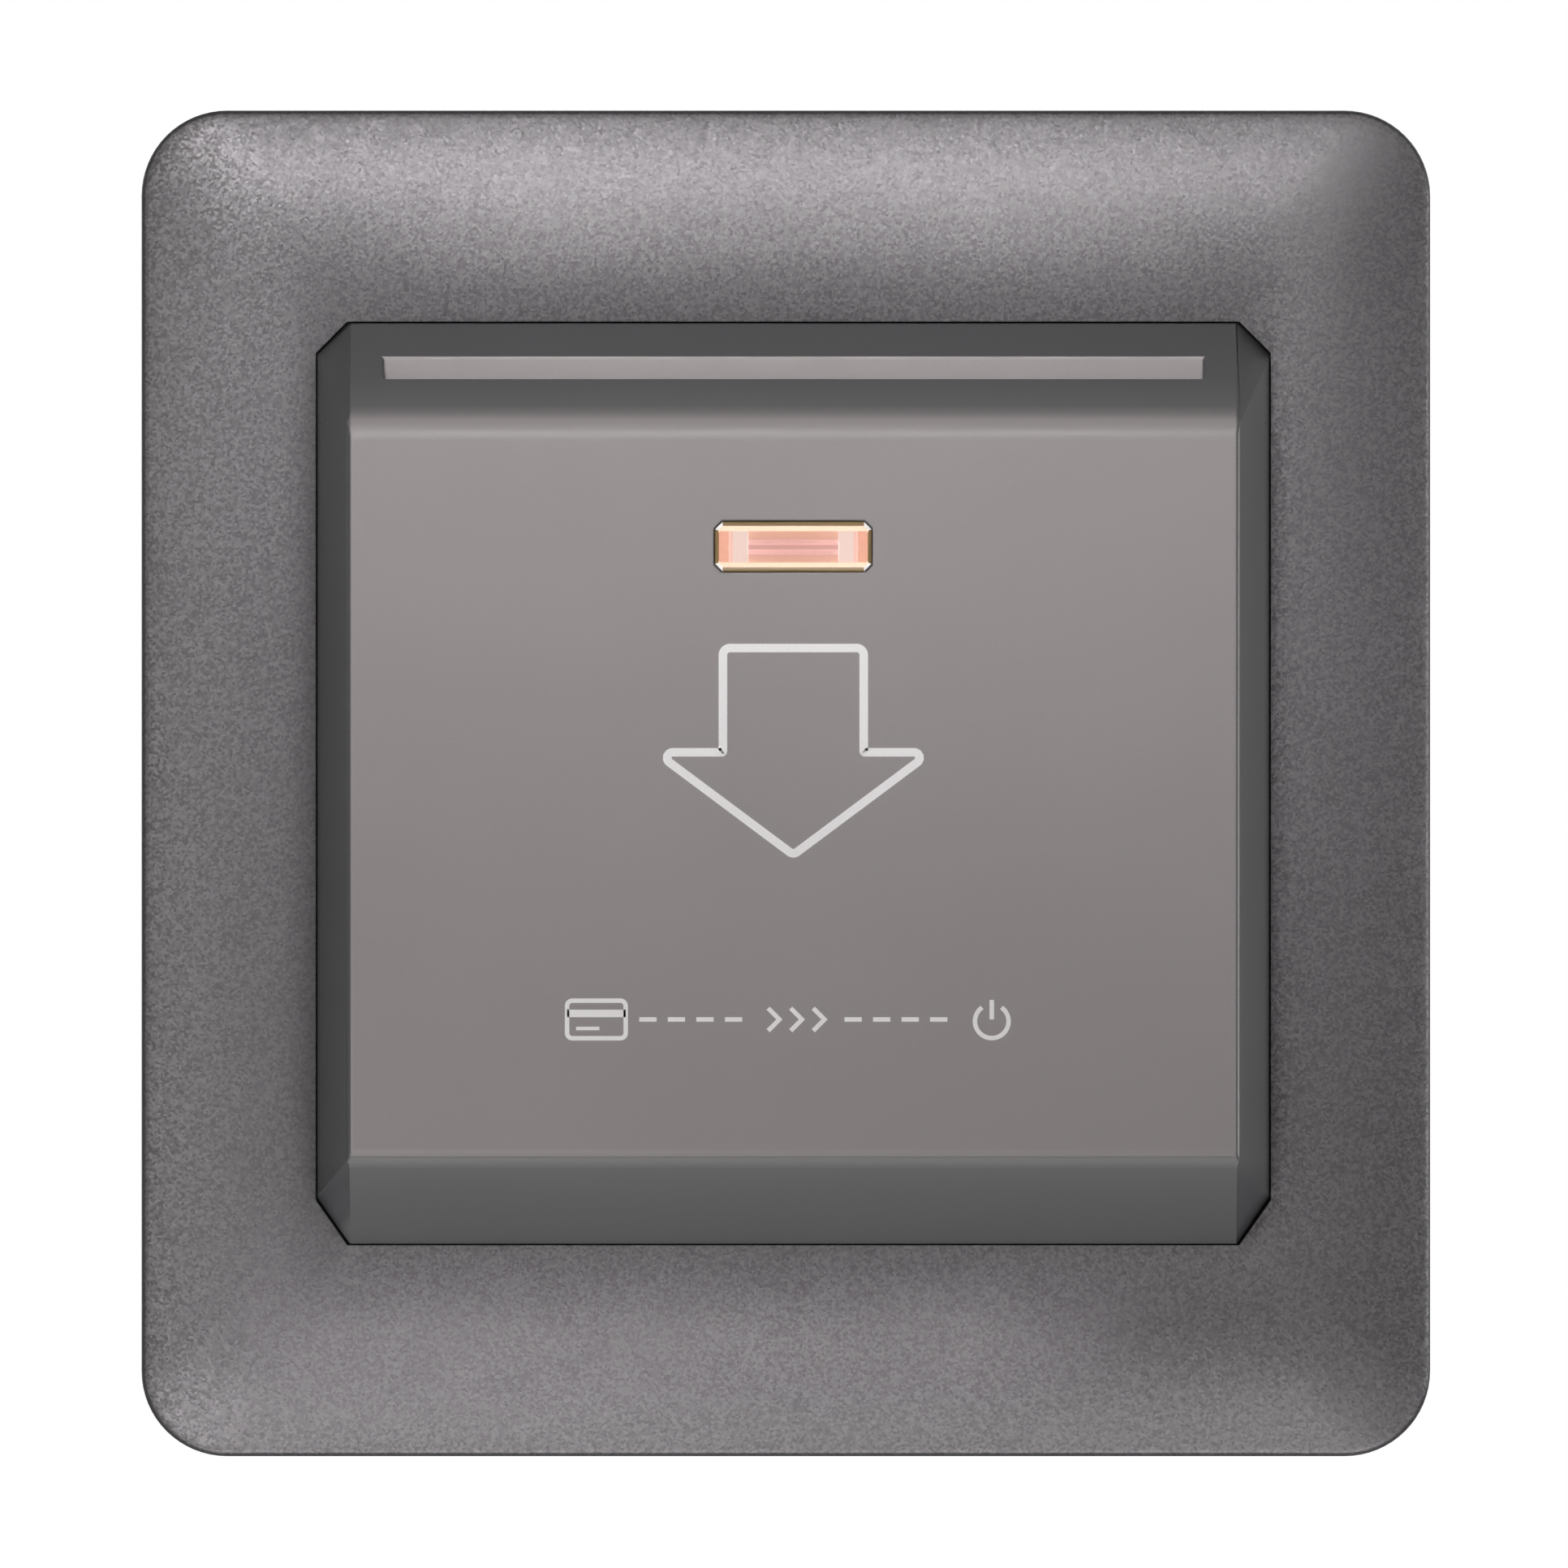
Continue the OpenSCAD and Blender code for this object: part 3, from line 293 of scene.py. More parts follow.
def painted(name, colourOf, size):  # moulded, in a colour that a function works out
    material, tree, shader = blank(name, size["plain"])
    grain = placeGroup(tree, "mould", size["grain"])
    dress(shader, toned(colourOf(size, tree, shader), grain["Tone"]), grain, size["relief"])
    return material


def metal(name, colour, rough, relief, lines=900, stretch=(1, 1, 1), **more):
    values = {"Line Scale": lines, "Stretch": stretch, "Roughness Low": rough[0], "Roughness High": rough[1]}
    return finish(name, colour, "rolled", values, relief, **{"Metallic": 1.0, **more})


# edge is a darker copy of the plate colour for the outer walls, picked by facing: painted shade
platePaint = {"colour": (0.156, 0.148, 0.1535), "edge": (0.05, 0.048, 0.05), "slope": (-0.7, -0.86),
              "flake": 5600, "flakeTone": (0.74, 1.26), "patch": 40, "patchDetail": 3,
              "patchTone": (0.3, 0.7, 0.96, 1.04), "rough": (0.36, 0.46), "upright": (0.5, 0.5, 0.5), "lean": 0.1,
              "plain": {"Metallic": 0.6, "Specular IOR Level": 0.3, "Specular Tint": (0.3, 0.3, 0.31, 1)}}


def buildPlatePaint(size):  # dark grey lacquer with fine metal flakes; the outer walls are darker, a painted shade
    material, tree, shader = blank("flakeLacquer", size["plain"])
    spot = spotOf(tree)
    cells = node(tree, "ShaderNodeTexVoronoi", Vector=spot, Scale=size["flake"]).outputs["Color"]
    split = node(tree, "ShaderNodeSeparateColor", Color=cells).outputs
    flake = mapped(split[0], 0.0, 1.0, *size["flakeTone"])
    patch = mapped(noise(spot, size["patch"], size["patchDetail"]), *size["patchTone"])
    tone = product(flake, patch)
    # painted shade: faces turned away from the front take the darker edge colour
    ahead = mapped(axes(spotOf(tree, "Normal"))["Y"], *size["slope"])
    paint = mixed(ahead, toned(size["edge"], tone), toned(size["colour"], tone))
    feed(shader["Base Color"], paint)
    feed(shader["Roughness"], mapped(split[1], 0.0, 1.0, *size["rough"]))
    # each flake leans its own way
    lean = toned(vectorMaths("SUBTRACT", cells, size["upright"]), size["lean"])
    tilted = vectorMaths("ADD", node(tree, "ShaderNodeNewGeometry").outputs["Normal"], lean)
    feed(shader["Normal"], vectorMaths("NORMALIZE", tilted))
    return material


# one grey as a lit front colour and shaded side and cheek colours, picked by facing and place: painted shade
coverPaint = {"front": (0.335, 0.302, 0.302), "side": (0.106, 0.106, 0.108), "cheek": (0.076, 0.076, 0.078),
              "cheekLowShade": (0.054, 0.055, 0.058), "slope": (-0.75, -0.985), "turn": (0.2, 0.4),
              "above": (0.6, 0.8), "upward": (-0.1, 0.05), "fade": (-14.6, -19.6), "fadeShare": 0.2,
              "topEdge": (25.7, 24.2), "lowEdge": (-25.3, -24.4), "lowShare": 0.1, "cornerFall": (-25.0, -26.5),
              "panelHalf": (29.55, 29.4), "relief": 0.003, "plain": {"Specular IOR Level": 0.35},
              "grain": mouldValues((0.36, 0.42), 0.015)}


def coverColour(size, tree, shader):  # satin grey, with painted shade: lighter on what faces front, darker on the slopes and cheeks
    way, spot = axes(spotOf(tree, "Normal")), axes(spotOf(tree))
    ahead = mapped(way["Y"], *size["slope"])
    aside = mapped(maths("ABSOLUTE", way["X"]), *size["turn"])
    # painted highlight: faces looking up, near the front, are made lighter
    near = banded(spot["Y"], size["fade"], 0.0, size["fadeShare"])
    above = mapped(way["Z"], *size["above"])
    # painted highlight: the lighter front colour runs a little over the top edge; painted shade darkens it at the
    # bottom edge
    edge = banded(spot["Z"], size["topEdge"])
    upward = mapped(way["Z"], *size["upward"])
    over = product(edge, edge, upward, maths("SUBTRACT", 1.0, aside))
    lowEdgeShade = banded(spot["Z"], size["lowEdge"], size["lowShare"], 1.0)
    inside = banded(maths("ABSOLUTE", spot["X"]), size["panelHalf"])
    light = maths("MAXIMUM", maths("MAXIMUM", ahead, over), product(near, above))
    # painted shade: the cheeks are darker still at the lower corners
    low = banded(spot["Z"], size["cornerFall"])
    dark = mixed(aside, size["side"], mixed(low, size["cheek"], size["cheekLowShade"]))
    return mixed(product(light, lowEdgeShade, inside), dark, size["front"])


resistorSize = {"ends": (-12.3167, -7.9167), "up": lampUp, "out": leadOut,
                "rise": [(0, 0.36), (0.07, 0.702), (0.25, 0.873), (0.5, 0.9), (0.8, 0.9), (1.05, 0.76)]}
ringPaint = {"ends": resistorSize["ends"], "tan": (0.56, 0.36, 0.18, 1), "relief": 0.01,
             "rings": [(0.2, 0.28, (0.22, 0.09, 0.03, 1)), (0.38, 0.46, (0.02, 0.02, 0.02, 1)),
                       (0.56, 0.64, (0.75, 0.45, 0.02, 1)), (0.78, 0.86, (0.55, 0.38, 0.1, 1))],
             "plain": {"Coat Weight": 0.4, "Coat Roughness": 0.15}, "grain": mouldValues((0.3, 0.45), scale=3000)}


def ringedColour(size, tree, shader):  # tan lacquer with colour rings across the body
    along = banded(axes(spotOf(tree))["X"], size["ends"])
    rings = node(tree, "ShaderNodeValToRGB", Fac=along)
    ramp = rings.color_ramp
    ramp.interpolation = "CONSTANT"
    for start, end, colour in size["rings"]:
        ramp.elements.new(start).color = colour
        ramp.elements.new(end).color = size["tan"]
    for end in (0, -1):
        ramp.elements[end].color = size["tan"]
    return rings.outputs[0]


glowPaint = {"white": (0.75, 0.72, 0.68), "up": lampUp, "core": (0.45, 0.75), "postRise": (-9.2, -9.6),
             "flank": (4.02, 4.1), "postGlow": (0.72, 0.7, 0.68), "flankGlow": (0.36, 0.18, 0.2),
             "coreGlow": (0.3, 0.16, 0.24), "edgeGlow": (0.68, 0.36, 0.22), "relief": 0.006,
             "plain": {"Emission Strength": 1.25}, "grain": mouldValues((0.4, 0.55))}


def litColour(size, tree, shader):  # white moulding with a painted glow for the neon lamp's light: pale posts, warm floor
    spot = axes(spotOf(tree))
    off = maths("ABSOLUTE", maths("SUBTRACT", spot["Z"], size["up"] * mm))
    floor = mixed(banded(off, size["core"]), size["coreGlow"], size["edgeGlow"])
    flank = banded(maths("ABSOLUTE", spot["X"]), size["flank"])
    post = mixed(flank, size["postGlow"], size["flankGlow"])
    feed(shader["Emission Color"], mixed(banded(spot["Y"], size["postRise"]), floor, post))
    return size["white"]


panePaint = {"colour": (0.75, 0.42, 0.32), "ends": (4.0, 4.25), "strength": (0.35, 1.3), "relief": 0.002,
             "plain": {"Alpha": 0.3, "Emission Color": (1.0, 0.48, 0.34, 1)},
             "grain": mouldValues((0.08, 0.16), 0.015)}


def paneColour(size, tree, shader):  # clear peach, with a painted glow at its two ends
    off = maths("ABSOLUTE", axes(spotOf(tree))["X"])
    feed(shader["Emission Strength"], banded(off, size["ends"], *size["strength"]))
    return size["colour"]


finishes = {
    "plate": buildPlatePaint(platePaint),
    "cover": painted("satinGrey", coverColour, coverPaint),
    # painted light: the slot's back wall, in shade behind the slot, is given a lighter grey than the front
    "slotWall": moulded("slotGrey", (0.462, 0.418, 0.418), rough=(0.36, 0.42), relief=0.003, spread=0.015),
    "ink": moulded("whiteInk", (0.94, 0.91, 0.91), rough=(0.45, 0.6), relief=0.002, spread=0.02),
    "black": moulded("blackMoulding", (0.035, 0.035, 0.037), rough=(0.4, 0.58), relief=0.012,
                     wear=((0.12, 0.12, 0.12), 0.4), dust=0.12),
    "white": moulded("whiteMoulding", (0.72, 0.71, 0.68), rough=(0.35, 0.5), relief=0.01, dust=0.15),
    "ivory": moulded("ivoryMoulding", (0.68, 0.6, 0.45), rough=(0.35, 0.5), relief=0.01, dust=0.12),
    "red": moulded("redMoulding", (0.5, 0.035, 0.025), rough=(0.3, 0.42), relief=0.006),
    "zinc": metal("zincPlate", (0.62, 0.63, 0.65), rough=(0.28, 0.42), relief=0.004, lines=2400,
                  stretch=(0.05, 1, 1), wear=((0.8, 0.8, 0.8), 0.4), dust=0.08),
    "spring": metal("springWire", (0.5, 0.5, 0.52), rough=(0.2, 0.34), relief=0.004, lines=3000),
    "bronze": metal("bronzeStrip", (0.62, 0.36, 0.18), rough=(0.22, 0.4), relief=0.005, stretch=(1, 1, 0.06),
                    wear=((0.8, 0.55, 0.35), 0.4)),
    "silver": metal("silverRivet", (0.82, 0.81, 0.78), rough=(0.18, 0.34), relief=0.003, lines=2500),
    "brass": metal("brassStock", (0.72, 0.5, 0.2), rough=(0.2, 0.38), relief=0.006, stretch=(1, 1, 0.05),
                   wear=((0.9, 0.72, 0.4), 0.45), dust=0.06),
    "tinned": metal("tinnedWire", (0.66, 0.66, 0.64), rough=(0.24, 0.42), relief=0.004, lines=2500),
    "resistor": painted("ringedLacquer", ringedColour, ringPaint),
    "lampWhite": painted("lampWhite", litColour, glowPaint),
    "electrode": metal("neonRod", (0.8, 0.6, 0.55), rough=(0.3, 0.5), relief=0.003, lines=3000, Metallic=0.4,
                       Emission_Color=(1.0, 0.64, 0.68, 1), Emission_Strength=0.85),
    "glass": moulded("neonGlass", (0.95, 0.85, 0.82), rough=(0.04, 0.09), relief=0.001, spread=0.01, Alpha=0.16),
    "pane": painted("peachPane", paneColour, panePaint),
    # painted shade and light on the clear lens's bevelled rim: a dark olive shadow line, a glowing cream ridge and
    # white corner glints
    "olive": moulded("oliveRim", (0.36, 0.24, 0.11), rough=(0.15, 0.25), relief=0.002, spread=0.02),
    "cream": moulded("creamRim", (0.92, 0.74, 0.58), rough=(0.15, 0.25), relief=0.002, spread=0.02,
                     Emission_Color=(1.0, 0.7, 0.45, 1), Emission_Strength=0.32),
    "glint": moulded("brightCorner", (0.95, 0.92, 0.88), rough=(0.12, 0.2), relief=0.002, spread=0.02,
                     Emission_Color=(1.0, 0.97, 0.92, 1), Emission_Strength=0.4),
}
print("finishes made:", len(finishes))


# mesh helpers

edgeSize = {"sharpest": 28, "weld": 0.001, "merge": 0.002, "flat": 0.5, "skew": 0.1, "flatWeight": 100}


def keep(name, mesh, look, body, replaced=None):
    if look:
        mesh.materials.clear()
        mesh.materials.append(finishes[look])
    piece = linked(name, mesh)
    if body:
        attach(piece, body)
    if replaced:
        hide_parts(replaced)
    return piece


def bake(source, name):  # evaluated shape as a plain mesh
    bpy.context.view_layer.update()
    shaped = source.evaluated_get(bpy.context.evaluated_depsgraph_get())
    mesh = bpy.data.meshes.new_from_object(shaped)
    mesh.name = name
    bpy.data.objects.remove(source)
    return mesh


def stored(work, mesh):
    work.to_mesh(mesh)
    work.free()
    return mesh


def outward(work, mesh):  # the same, with all faces turned outwards
    bmesh.ops.recalc_face_normals(work, faces=work.faces)
    return stored(work, mesh)


def modifier(source, kind, **settings):
    made = source.modifiers.new(kind.lower(), kind)
    for key, value in settings.items():
        setattr(made, key, value)
    return made


def softened(mesh, edge, steps, limit="ANGLE"):
    source = linked(mesh.name + "Raw", mesh)
    modifier(source, "BEVEL", width=edge * mm, segments=steps, limit_method=limit, use_clamp_overlap=False,
             angle_limit=math.radians(edgeSize["sharpest"]))
    modifier(source, "WELD", merge_threshold=edgeSize["weld"] * mm)
    modifier(source, "WEIGHTED_NORMAL", weight=edgeSize["flatWeight"], keep_sharp=True)
    return bake(source, mesh.name)


def softCopy(nodeName, edge, steps):  # the CAD shape with its edges broken
    mesh = nodes[nodeName].data.copy()
    mesh.name = nodeName + "Shape"
    work = bmesh.new()
    work.from_mesh(mesh)
    bmesh.ops.remove_doubles(work, verts=work.verts, dist=edgeSize["merge"] * mm)
    bmesh.ops.dissolve_limit(work, angle_limit=math.radians(edgeSize["flat"]), verts=work.verts, edges=work.edges)
    weight = work.edges.layers.float.new("bevel_weight_edge")
    for face in work.faces:
        face.smooth = True
    for line in work.edges:
        turn = math.degrees(line.calc_face_angle(0))
        skew = any(min(abs(part) for part in face.normal) > edgeSize["skew"] for face in line.link_faces)
        line[weight] = 0.0 if skew or turn < edgeSize["sharpest"] else 1.0
        line.smooth = not (skew and turn > edgeSize["sharpest"])
    return softened(stored(work, mesh), edge, steps, "WEIGHT")


def joined(name, meshes):
    work = bmesh.new()
    for mesh in meshes:
        work.from_mesh(mesh)
    return stored(work, bpy.data.meshes.new(name))


def lofted(name, loops, closed=False):  # skin over loops of points, in order
    count = len(loops[0])
    faces = []
    for row in range(len(loops) if closed else len(loops) - 1):
        above = (row + 1) % len(loops)
        for i in range(count):
            j = (i + 1) % count
            faces.append((row * count + i, row * count + j, above * count + j, above * count + i))
    if not closed:
        faces.append(tuple(reversed(range(count))))
        faces.append(tuple((len(loops) - 1) * count + i for i in range(count)))
    mesh = bpy.data.meshes.new(name)
    mesh.from_pydata([point for loop in loops for point in loop], [], faces)
    work = bmesh.new()
    work.from_mesh(mesh)
    for face in work.faces:
        face.smooth = True
    return outward(work, mesh)


def turned(name, profile, centre, axis, sides=40, closed=False):  # profile of (along, radius), about an axis
    loops = []
    for along, radius in profile:
        loop = []
        for i in range(sides):
            turn = i * 2 * math.pi / sides
            u, v = radius * math.cos(turn), radius * math.sin(turn)
            loop.append(Vector(centre) + Vector((along, u, v) if axis == "x" else (u, along, v)) * mm)
        loops.append(loop)
    return lofted(name, loops, closed)


def boxMesh(name, low, high):  # corners in millimetres: across, up, out
    work = bmesh.new()
    bmesh.ops.create_cube(work, size=1)
    for vert in work.verts:
        share = vert.co + Vector((0.5, 0.5, 0.5))
        vert.co = at(*(a + (b - a) * t for a, b, t in zip(low, high, share)))
    return outward(work, bpy.data.meshes.new(name))


# plate: one loft round the opening, over the curved front and back through the hollow

plateSize = {"width": 86, "height": 89.8, "shift": -0.5, "corner": 5.7, "cornerEase": 0.3, "cornerLeast": 1.0,
             "crown": 8.4, "fall": 1.5, "roll": 9, "insets": (9.3, 9, 8, 7, 6, 5, 4, 3, 2.2, 1.5, 1),
             "edge": 0.55, "edgeLow": 6.4, "edgeSteps": 6, "side": 4, "backEdge": 0.3, "backEase": 0.09,
             "wall": 2, "wallEdge": 0.25, "ceiling": 4.9, "ceilingEdge": 0.6, "ceilingEase": 0.18,
             "gap": 0.09, "skirt": 1.7, "skirtLow": 1.5, "skirtEdge": 0.3, "lip": 0.05, "lipEase": 0.3, "seal": 0.03,
             "groove": 0.12, "headRoom": 4.2, "headLow": 3.6, "headFrom": 30, "crease": 32}
plateSteps = {"run": 42, "corner": 16, "search": 40, "digits": 5, "nudge": 0.0004, "nearest": 0.0003}
holderSize = {"width": 63.5, "height": 61.4, "cutTop": 2.1, "cutLowWide": 2.1, "cutLowHigh": 3.0}
clipSize = {"side": 16, "width": 10, "low": 0.3, "high": 5.2, "inner": 30.9, "outer": 32.5, "soft": 0.2,
            "barb": 29.95, "barbTop": 1.0, "barbInto": 0.4, "barbSoft": 0.25, "steps": 2}


def holderCorners(grow):
    a, b = (side / 2 + grow for side in pick(holderSize, "width height"))
    wide, high, top = pick(holderSize, "cutLowWide cutLowHigh cutTop")
    return [(-a, high - b), (wide - a, -b), (a - wide, -b), (a, high - b),
            (a, b - top), (a - top, b), (top - a, b), (-a, b - top)]


def cutReach(angle, grow):  # how far a ray from the middle goes before it meets the opening
    ray = (math.cos(angle), math.sin(angle))
    corners = holderCorners(grow)
    reach = []
    for (ax, ay), (bx, by) in zip(corners, corners[1:] + corners[:1]):
        normal = (by - ay, ax - bx)
        facing = normal[0] * ray[0] + normal[1] * ray[1]
        if facing > tiny:
            reach.append((normal[0] * ax + normal[1] * ay) / facing)
    return min(reach)


def rimReach(angle, inset, size=plateSize):  # the same for the plate's rounded outline, moved inwards
    halfWide, halfHigh = size["width"] / 2 - inset, size["height"] / 2 - inset
    radius = max(size["corner"] - size["cornerEase"] * inset, size["cornerLeast"])
    low, high = 0.0, size["width"]
    for i in range(plateSteps["search"]):
        middle = (low + high) / 2
        x = abs(middle * math.cos(angle) - size["shift"]) - halfWide + radius
        y = abs(middle * math.sin(angle)) - halfHigh + radius
        gap = math.hypot(max(x, 0), max(y, 0)) + min(max(x, y), 0) - radius
        low, high = (middle, high) if gap < 0 else (low, middle)
    return (low + high) / 2


def plateAngles(size, steps):  # rays through every place where the outlines bend
    wide, high, r = size["width"] / 2, size["height"] / 2, size["corner"]
    spots = []
    for i in range(-steps["run"], steps["run"] + 1):
        x, y = i / steps["run"] * (wide - r), i / steps["run"] * (high - r)
        spots += [(x, high), (x, -high), (wide, y), (-wide, y)]
    for i in range(1, steps["corner"]):
        turn = i / steps["corner"] * math.pi / 2
        x, y = wide - r + r * math.cos(turn), high - r + r * math.sin(turn)
        spots += [(sx * x, sy * y) for sx in (-1, 1) for sy in (-1, 1)]
    spots = [(x + size["shift"], y) for x, y in spots] + holderCorners(size["gap"])
    for side in (0, math.pi):
        for edge in (-1, 1):
            for nudge in (-steps["nudge"], steps["nudge"]):
                turn = side + math.atan2(edge * size["headRoom"], holderSize["width"] / 2) + nudge
                spots.append((math.cos(turn), math.sin(turn)))
    ordered = sorted({round(math.atan2(y, x), steps["digits"]) for x, y in spots})
    return [a for i, a in enumerate(ordered) if i == 0 or a - ordered[i - 1] > steps["nearest"]]


def plateRows(size):  # reach of the outline, distance from it and level
    def front(inset):
        return size["crown"] - size["fall"] * (1 - min(inset / size["roll"], 1)) ** 2

    gap, lip, seal, crown, low, ceiling = pick(size, "gap lip seal crown skirtLow ceiling")
    ease, step = size["lipEase"] * lip, crown - size["groove"]
    opening = [(seal, low), (seal, ceiling), (seal, step), (gap, step + lip), (gap, crown - lip),
               (gap + ease, crown - ease), (gap + lip, crown)]
    rim = [(inset, front(inset)) for inset in size["insets"]]
    edge, high = size["edge"], front(size["edge"])
    knee = high - 2 * size["fall"] / size["roll"] * (1 - edge / size["roll"]) * edge
    for i in range(size["edgeSteps"] + 1):
        t = 1 - i / size["edgeSteps"]
        rim.append((edge * t * t, size["edgeLow"] * (1 - t) ** 2 + 2 * knee * t * (1 - t) + high * t * t))
    back, backEase, wall, wallEdge, turn, turnEase = pick(
        size, "backEdge backEase wall wallEdge ceilingEdge ceilingEase")
    rim += [(0, size["side"]), (0, back), (backEase, backEase), (back, 0), (wall - wallEdge, 0), (wall, wallEdge),
            (wall, ceiling - turn), (wall + turnEase, ceiling - turnEase), (wall + turn, ceiling)]
    skirt, soft = gap + size["skirt"], size["skirtEdge"]
    inner = [(skirt + soft, ceiling), (skirt, ceiling - soft), (skirt, low)]
    return [(reachOf, *row) for reachOf, rows in ((cutReach, opening), (rimReach, rim), (cutReach, inner))
            for row in rows]


def plateLoops(size, angles):
    loops = []
    for reachOf, amount, out in plateRows(size):
        loop = []
        for angle in angles:
            reach = reachOf(angle, amount)
            x, up = reach * math.cos(angle), reach * math.sin(angle)
            # room for the wall screws' heads
            cut = out == size["skirtLow"] and abs(up) < size["headRoom"] and abs(x) > size["headFrom"]
            loop.append(at(x, up, size["headLow"] if cut else out))
        loops.append(loop)
    return loops


def buildPlate(size, clip):
    parts = [lofted("plateShell", plateLoops(size, plateAngles(size, plateSteps)), closed=True)]
    half = clip["width"] / 2
    for x in (-clip["side"], clip["side"]):
        for way in (-1, 1):
            arm = sorted((way * clip["inner"], way * clip["outer"]))
            barb = sorted((way * clip["barb"], way * (clip["inner"] + clip["barbInto"])))
            for (near, far), top, soft in ((arm, *pick(clip, "high soft")), (barb, *pick(clip, "barbTop barbSoft"))):
                box = boxMesh("clip", (x - half, near, clip["low"]), (x + half, far, top))
                parts.append(softened(box, soft, clip["steps"]))
    mesh = joined("plate", parts)
    mesh.set_sharp_from_angle(angle=math.radians(size["crease"]))
    return mesh


plateMesh = buildPlate(plateSize, clipSize)
keep("wallPlate", plateMesh, "plate", "base", "outer_plate")
print("plate lofted:", len(plateMesh.polygons), "faces")


# pieces that keep their CAD shape, with broken edges

usual = (2, "base")
softPieces = [  # piece, node, edge, finish, and steps and body where they aren't the usual ones
    ("holderCover", "front_cover", 0.16, "cover", 3, "base"),
    ("cardTray", "card_tray", 0.15, "black"),
    ("wallYoke", "mounting_yoke", 0.1, "zinc"),
    ("innerBase", "base_housing", 0.25, "white"),
    ("leverArm", "card_lever", 0.25, "ivory", 3, "lever"),
    ("switchBody", "switch_case", 0.12, "black"),
    ("switchCover", "switch_lid", 0.15, "red"),
    ("bladeStrip", "contact_blade", 0.05, "bronze", 2, "blade"),
    ("commonTab", "common_tab", 0.06, "brass"),
    ("outputTab", "output_tab", 0.06, "brass"),
    ("supplyStrap", "supply_strap", 0.06, "brass"),
    ("outputStrap", "output_strap", 0.06, "brass"),
    ("clampCarrier", "terminal_carrier", 0.2, "black"),
    ("supplyClamp", "supply_terminal", 0.18, "brass"),
    ("outputClamp", "output_terminal", 0.18, "brass"),
    ("neutralClamp", "neutral_terminal", 0.18, "brass"),
    ("lampCradle", "lamp_holder", 0.1, "lampWhite"),
]
for pieceName, nodeName, edge, look, *own in softPieces:
    steps, body = own or usual
    keep(pieceName, softCopy(nodeName, edge, steps), look, body, nodeName)

slotSize = {"out": 12.2, "low": 25, "near": 0.1}  # the slot's back wall, given a lighter grey as painted light
coverMesh = bpy.data.objects["holderCover"].data
coverMesh.materials.append(finishes["slotWall"])
for face in coverMesh.polygons:
    middle = face.center
    if abs(middle.y + slotSize["out"] * mm) < slotSize["near"] * mm and middle.z > slotSize["low"] * mm:
        face.material_index = 1
print("edges broken on", len(softPieces), "pieces")


# turned pieces: pin, plunger, contacts, lamp and resistor

pinSize = {**pivot, "half": 8.8, "radius": 1, "chamfer": 0.25}


def pinMesh(size):
    h, r, c = pick(size, "half radius chamfer")
    return turned("pin", [(-h, r - c), (c - h, r), (h - c, r), (h, r - c)], at(0, size["up"], size["out"]), "x")


plungerSize = {"up": -2.5, "foot": -5.2, "tip": 3.85, "radius": 1.4, "collar": 2.2, "collarLow": -1.0,
               "collarTop": 0.4, "dome": [(0, 0.5), (0.06, 0.78), (0.25, 0.95), (0.45, 1)], "soft": 0.15,
               "footSoft": 0.3}


def plungerMesh(size):  # along y, which runs into the wall
    r, collar, soft, footSoft = pick(size, "radius collar soft footSoft")
    foot, tip, low, top = (-out for out in pick(size, "foot tip collarLow collarTop"))
    profile = [(tip + along, share * r) for along, share in size["dome"]]
    profile += [(top, r), (top, collar - soft), (top + soft, collar), (low - soft, collar), (low, collar - soft),
                (low, r), (foot - footSoft, r), (foot, r - footSoft)]
    return turned("plunger", profile, at(0, size["up"], 0), "y")


contactSize = {"up": 1, "radius": 1.4, "moving": (-6.4, 1), "fixed": (-8.62, -1),  # face and way to the back
               "rise": [(0, 0.12), (0.02, 0.42), (0.09, 0.76), (0.22, 0.96), (0.34, 1.0), (0.52, 1.0), (0.6, 0.93)]}


def contactMesh(size, face, way):  # domed on its face
    profile = [(-(face + way * along), share * size["radius"]) for along, share in size["rise"]]
    return turned("contact", profile, at(0, size["up"], 0), "y")


lampSize = {"up": lampUp, "out": lampOut, "half": 4.3, "radius": 1.45, "bore": 1.1,
            "round": [(0.25, 0), (0.08, 0.07), (0, 0.2)], "seal": 0.9, "sealRadius": 1.075, "sealTip": 0.8,
            "sealRise": 0.12, "sealSoft": 0.08, "rod": 0.18, "rodPitch": 0.65, "rodReach": 3.0, "rodSides": 20,
            "rodTip": [(0, 0.45), (0.07, 0.9), (0.16, 1)]}


def tubeMesh(size):
    h, b = size["half"], size["bore"]
    end = [(h - along, size["radius"] - down) for along, down in size["round"]] + [(h, b)]
    profile = end + [(-along, radius) for along, radius in end[::-1]]
    return turned("tube", profile, at(0, size["up"], size["out"]), "x", closed=True)


def electrodeMesh(size):
    h, s, r, e, soft = pick(size, "half seal sealRadius rod sealSoft")
    parts = []
    for side in (-1, 1):
        seal = [(side * (h - s), size["sealTip"] * r), (side * (h - s + size["sealRise"]), r), (side * (h - soft), r),
                (side * h, r - soft)]
        parts.append(turned("seal", seal, at(0, size["up"], size["out"]), "x"))
        rod = [(-side * (size["rodReach"] - along), share * e) for along, share in size["rodTip"]]
        rod.append((side * (h - s / 2), e))
        up = size["up"] + side * size["rodPitch"] / 2
        parts.append(turned("rod", rod, at(0, up, size["out"]), "x", size["rodSides"]))
    return joined("electrodes", parts)


def resistorMesh(size):
    low, high = size["ends"]
    profile = [(low + along, radius) for along, radius in size["rise"]]
    profile += [(high - along, radius) for along, radius in size["rise"][::-1]]
    return turned("resistor", profile, at(0, size["up"], size["out"]), "x")


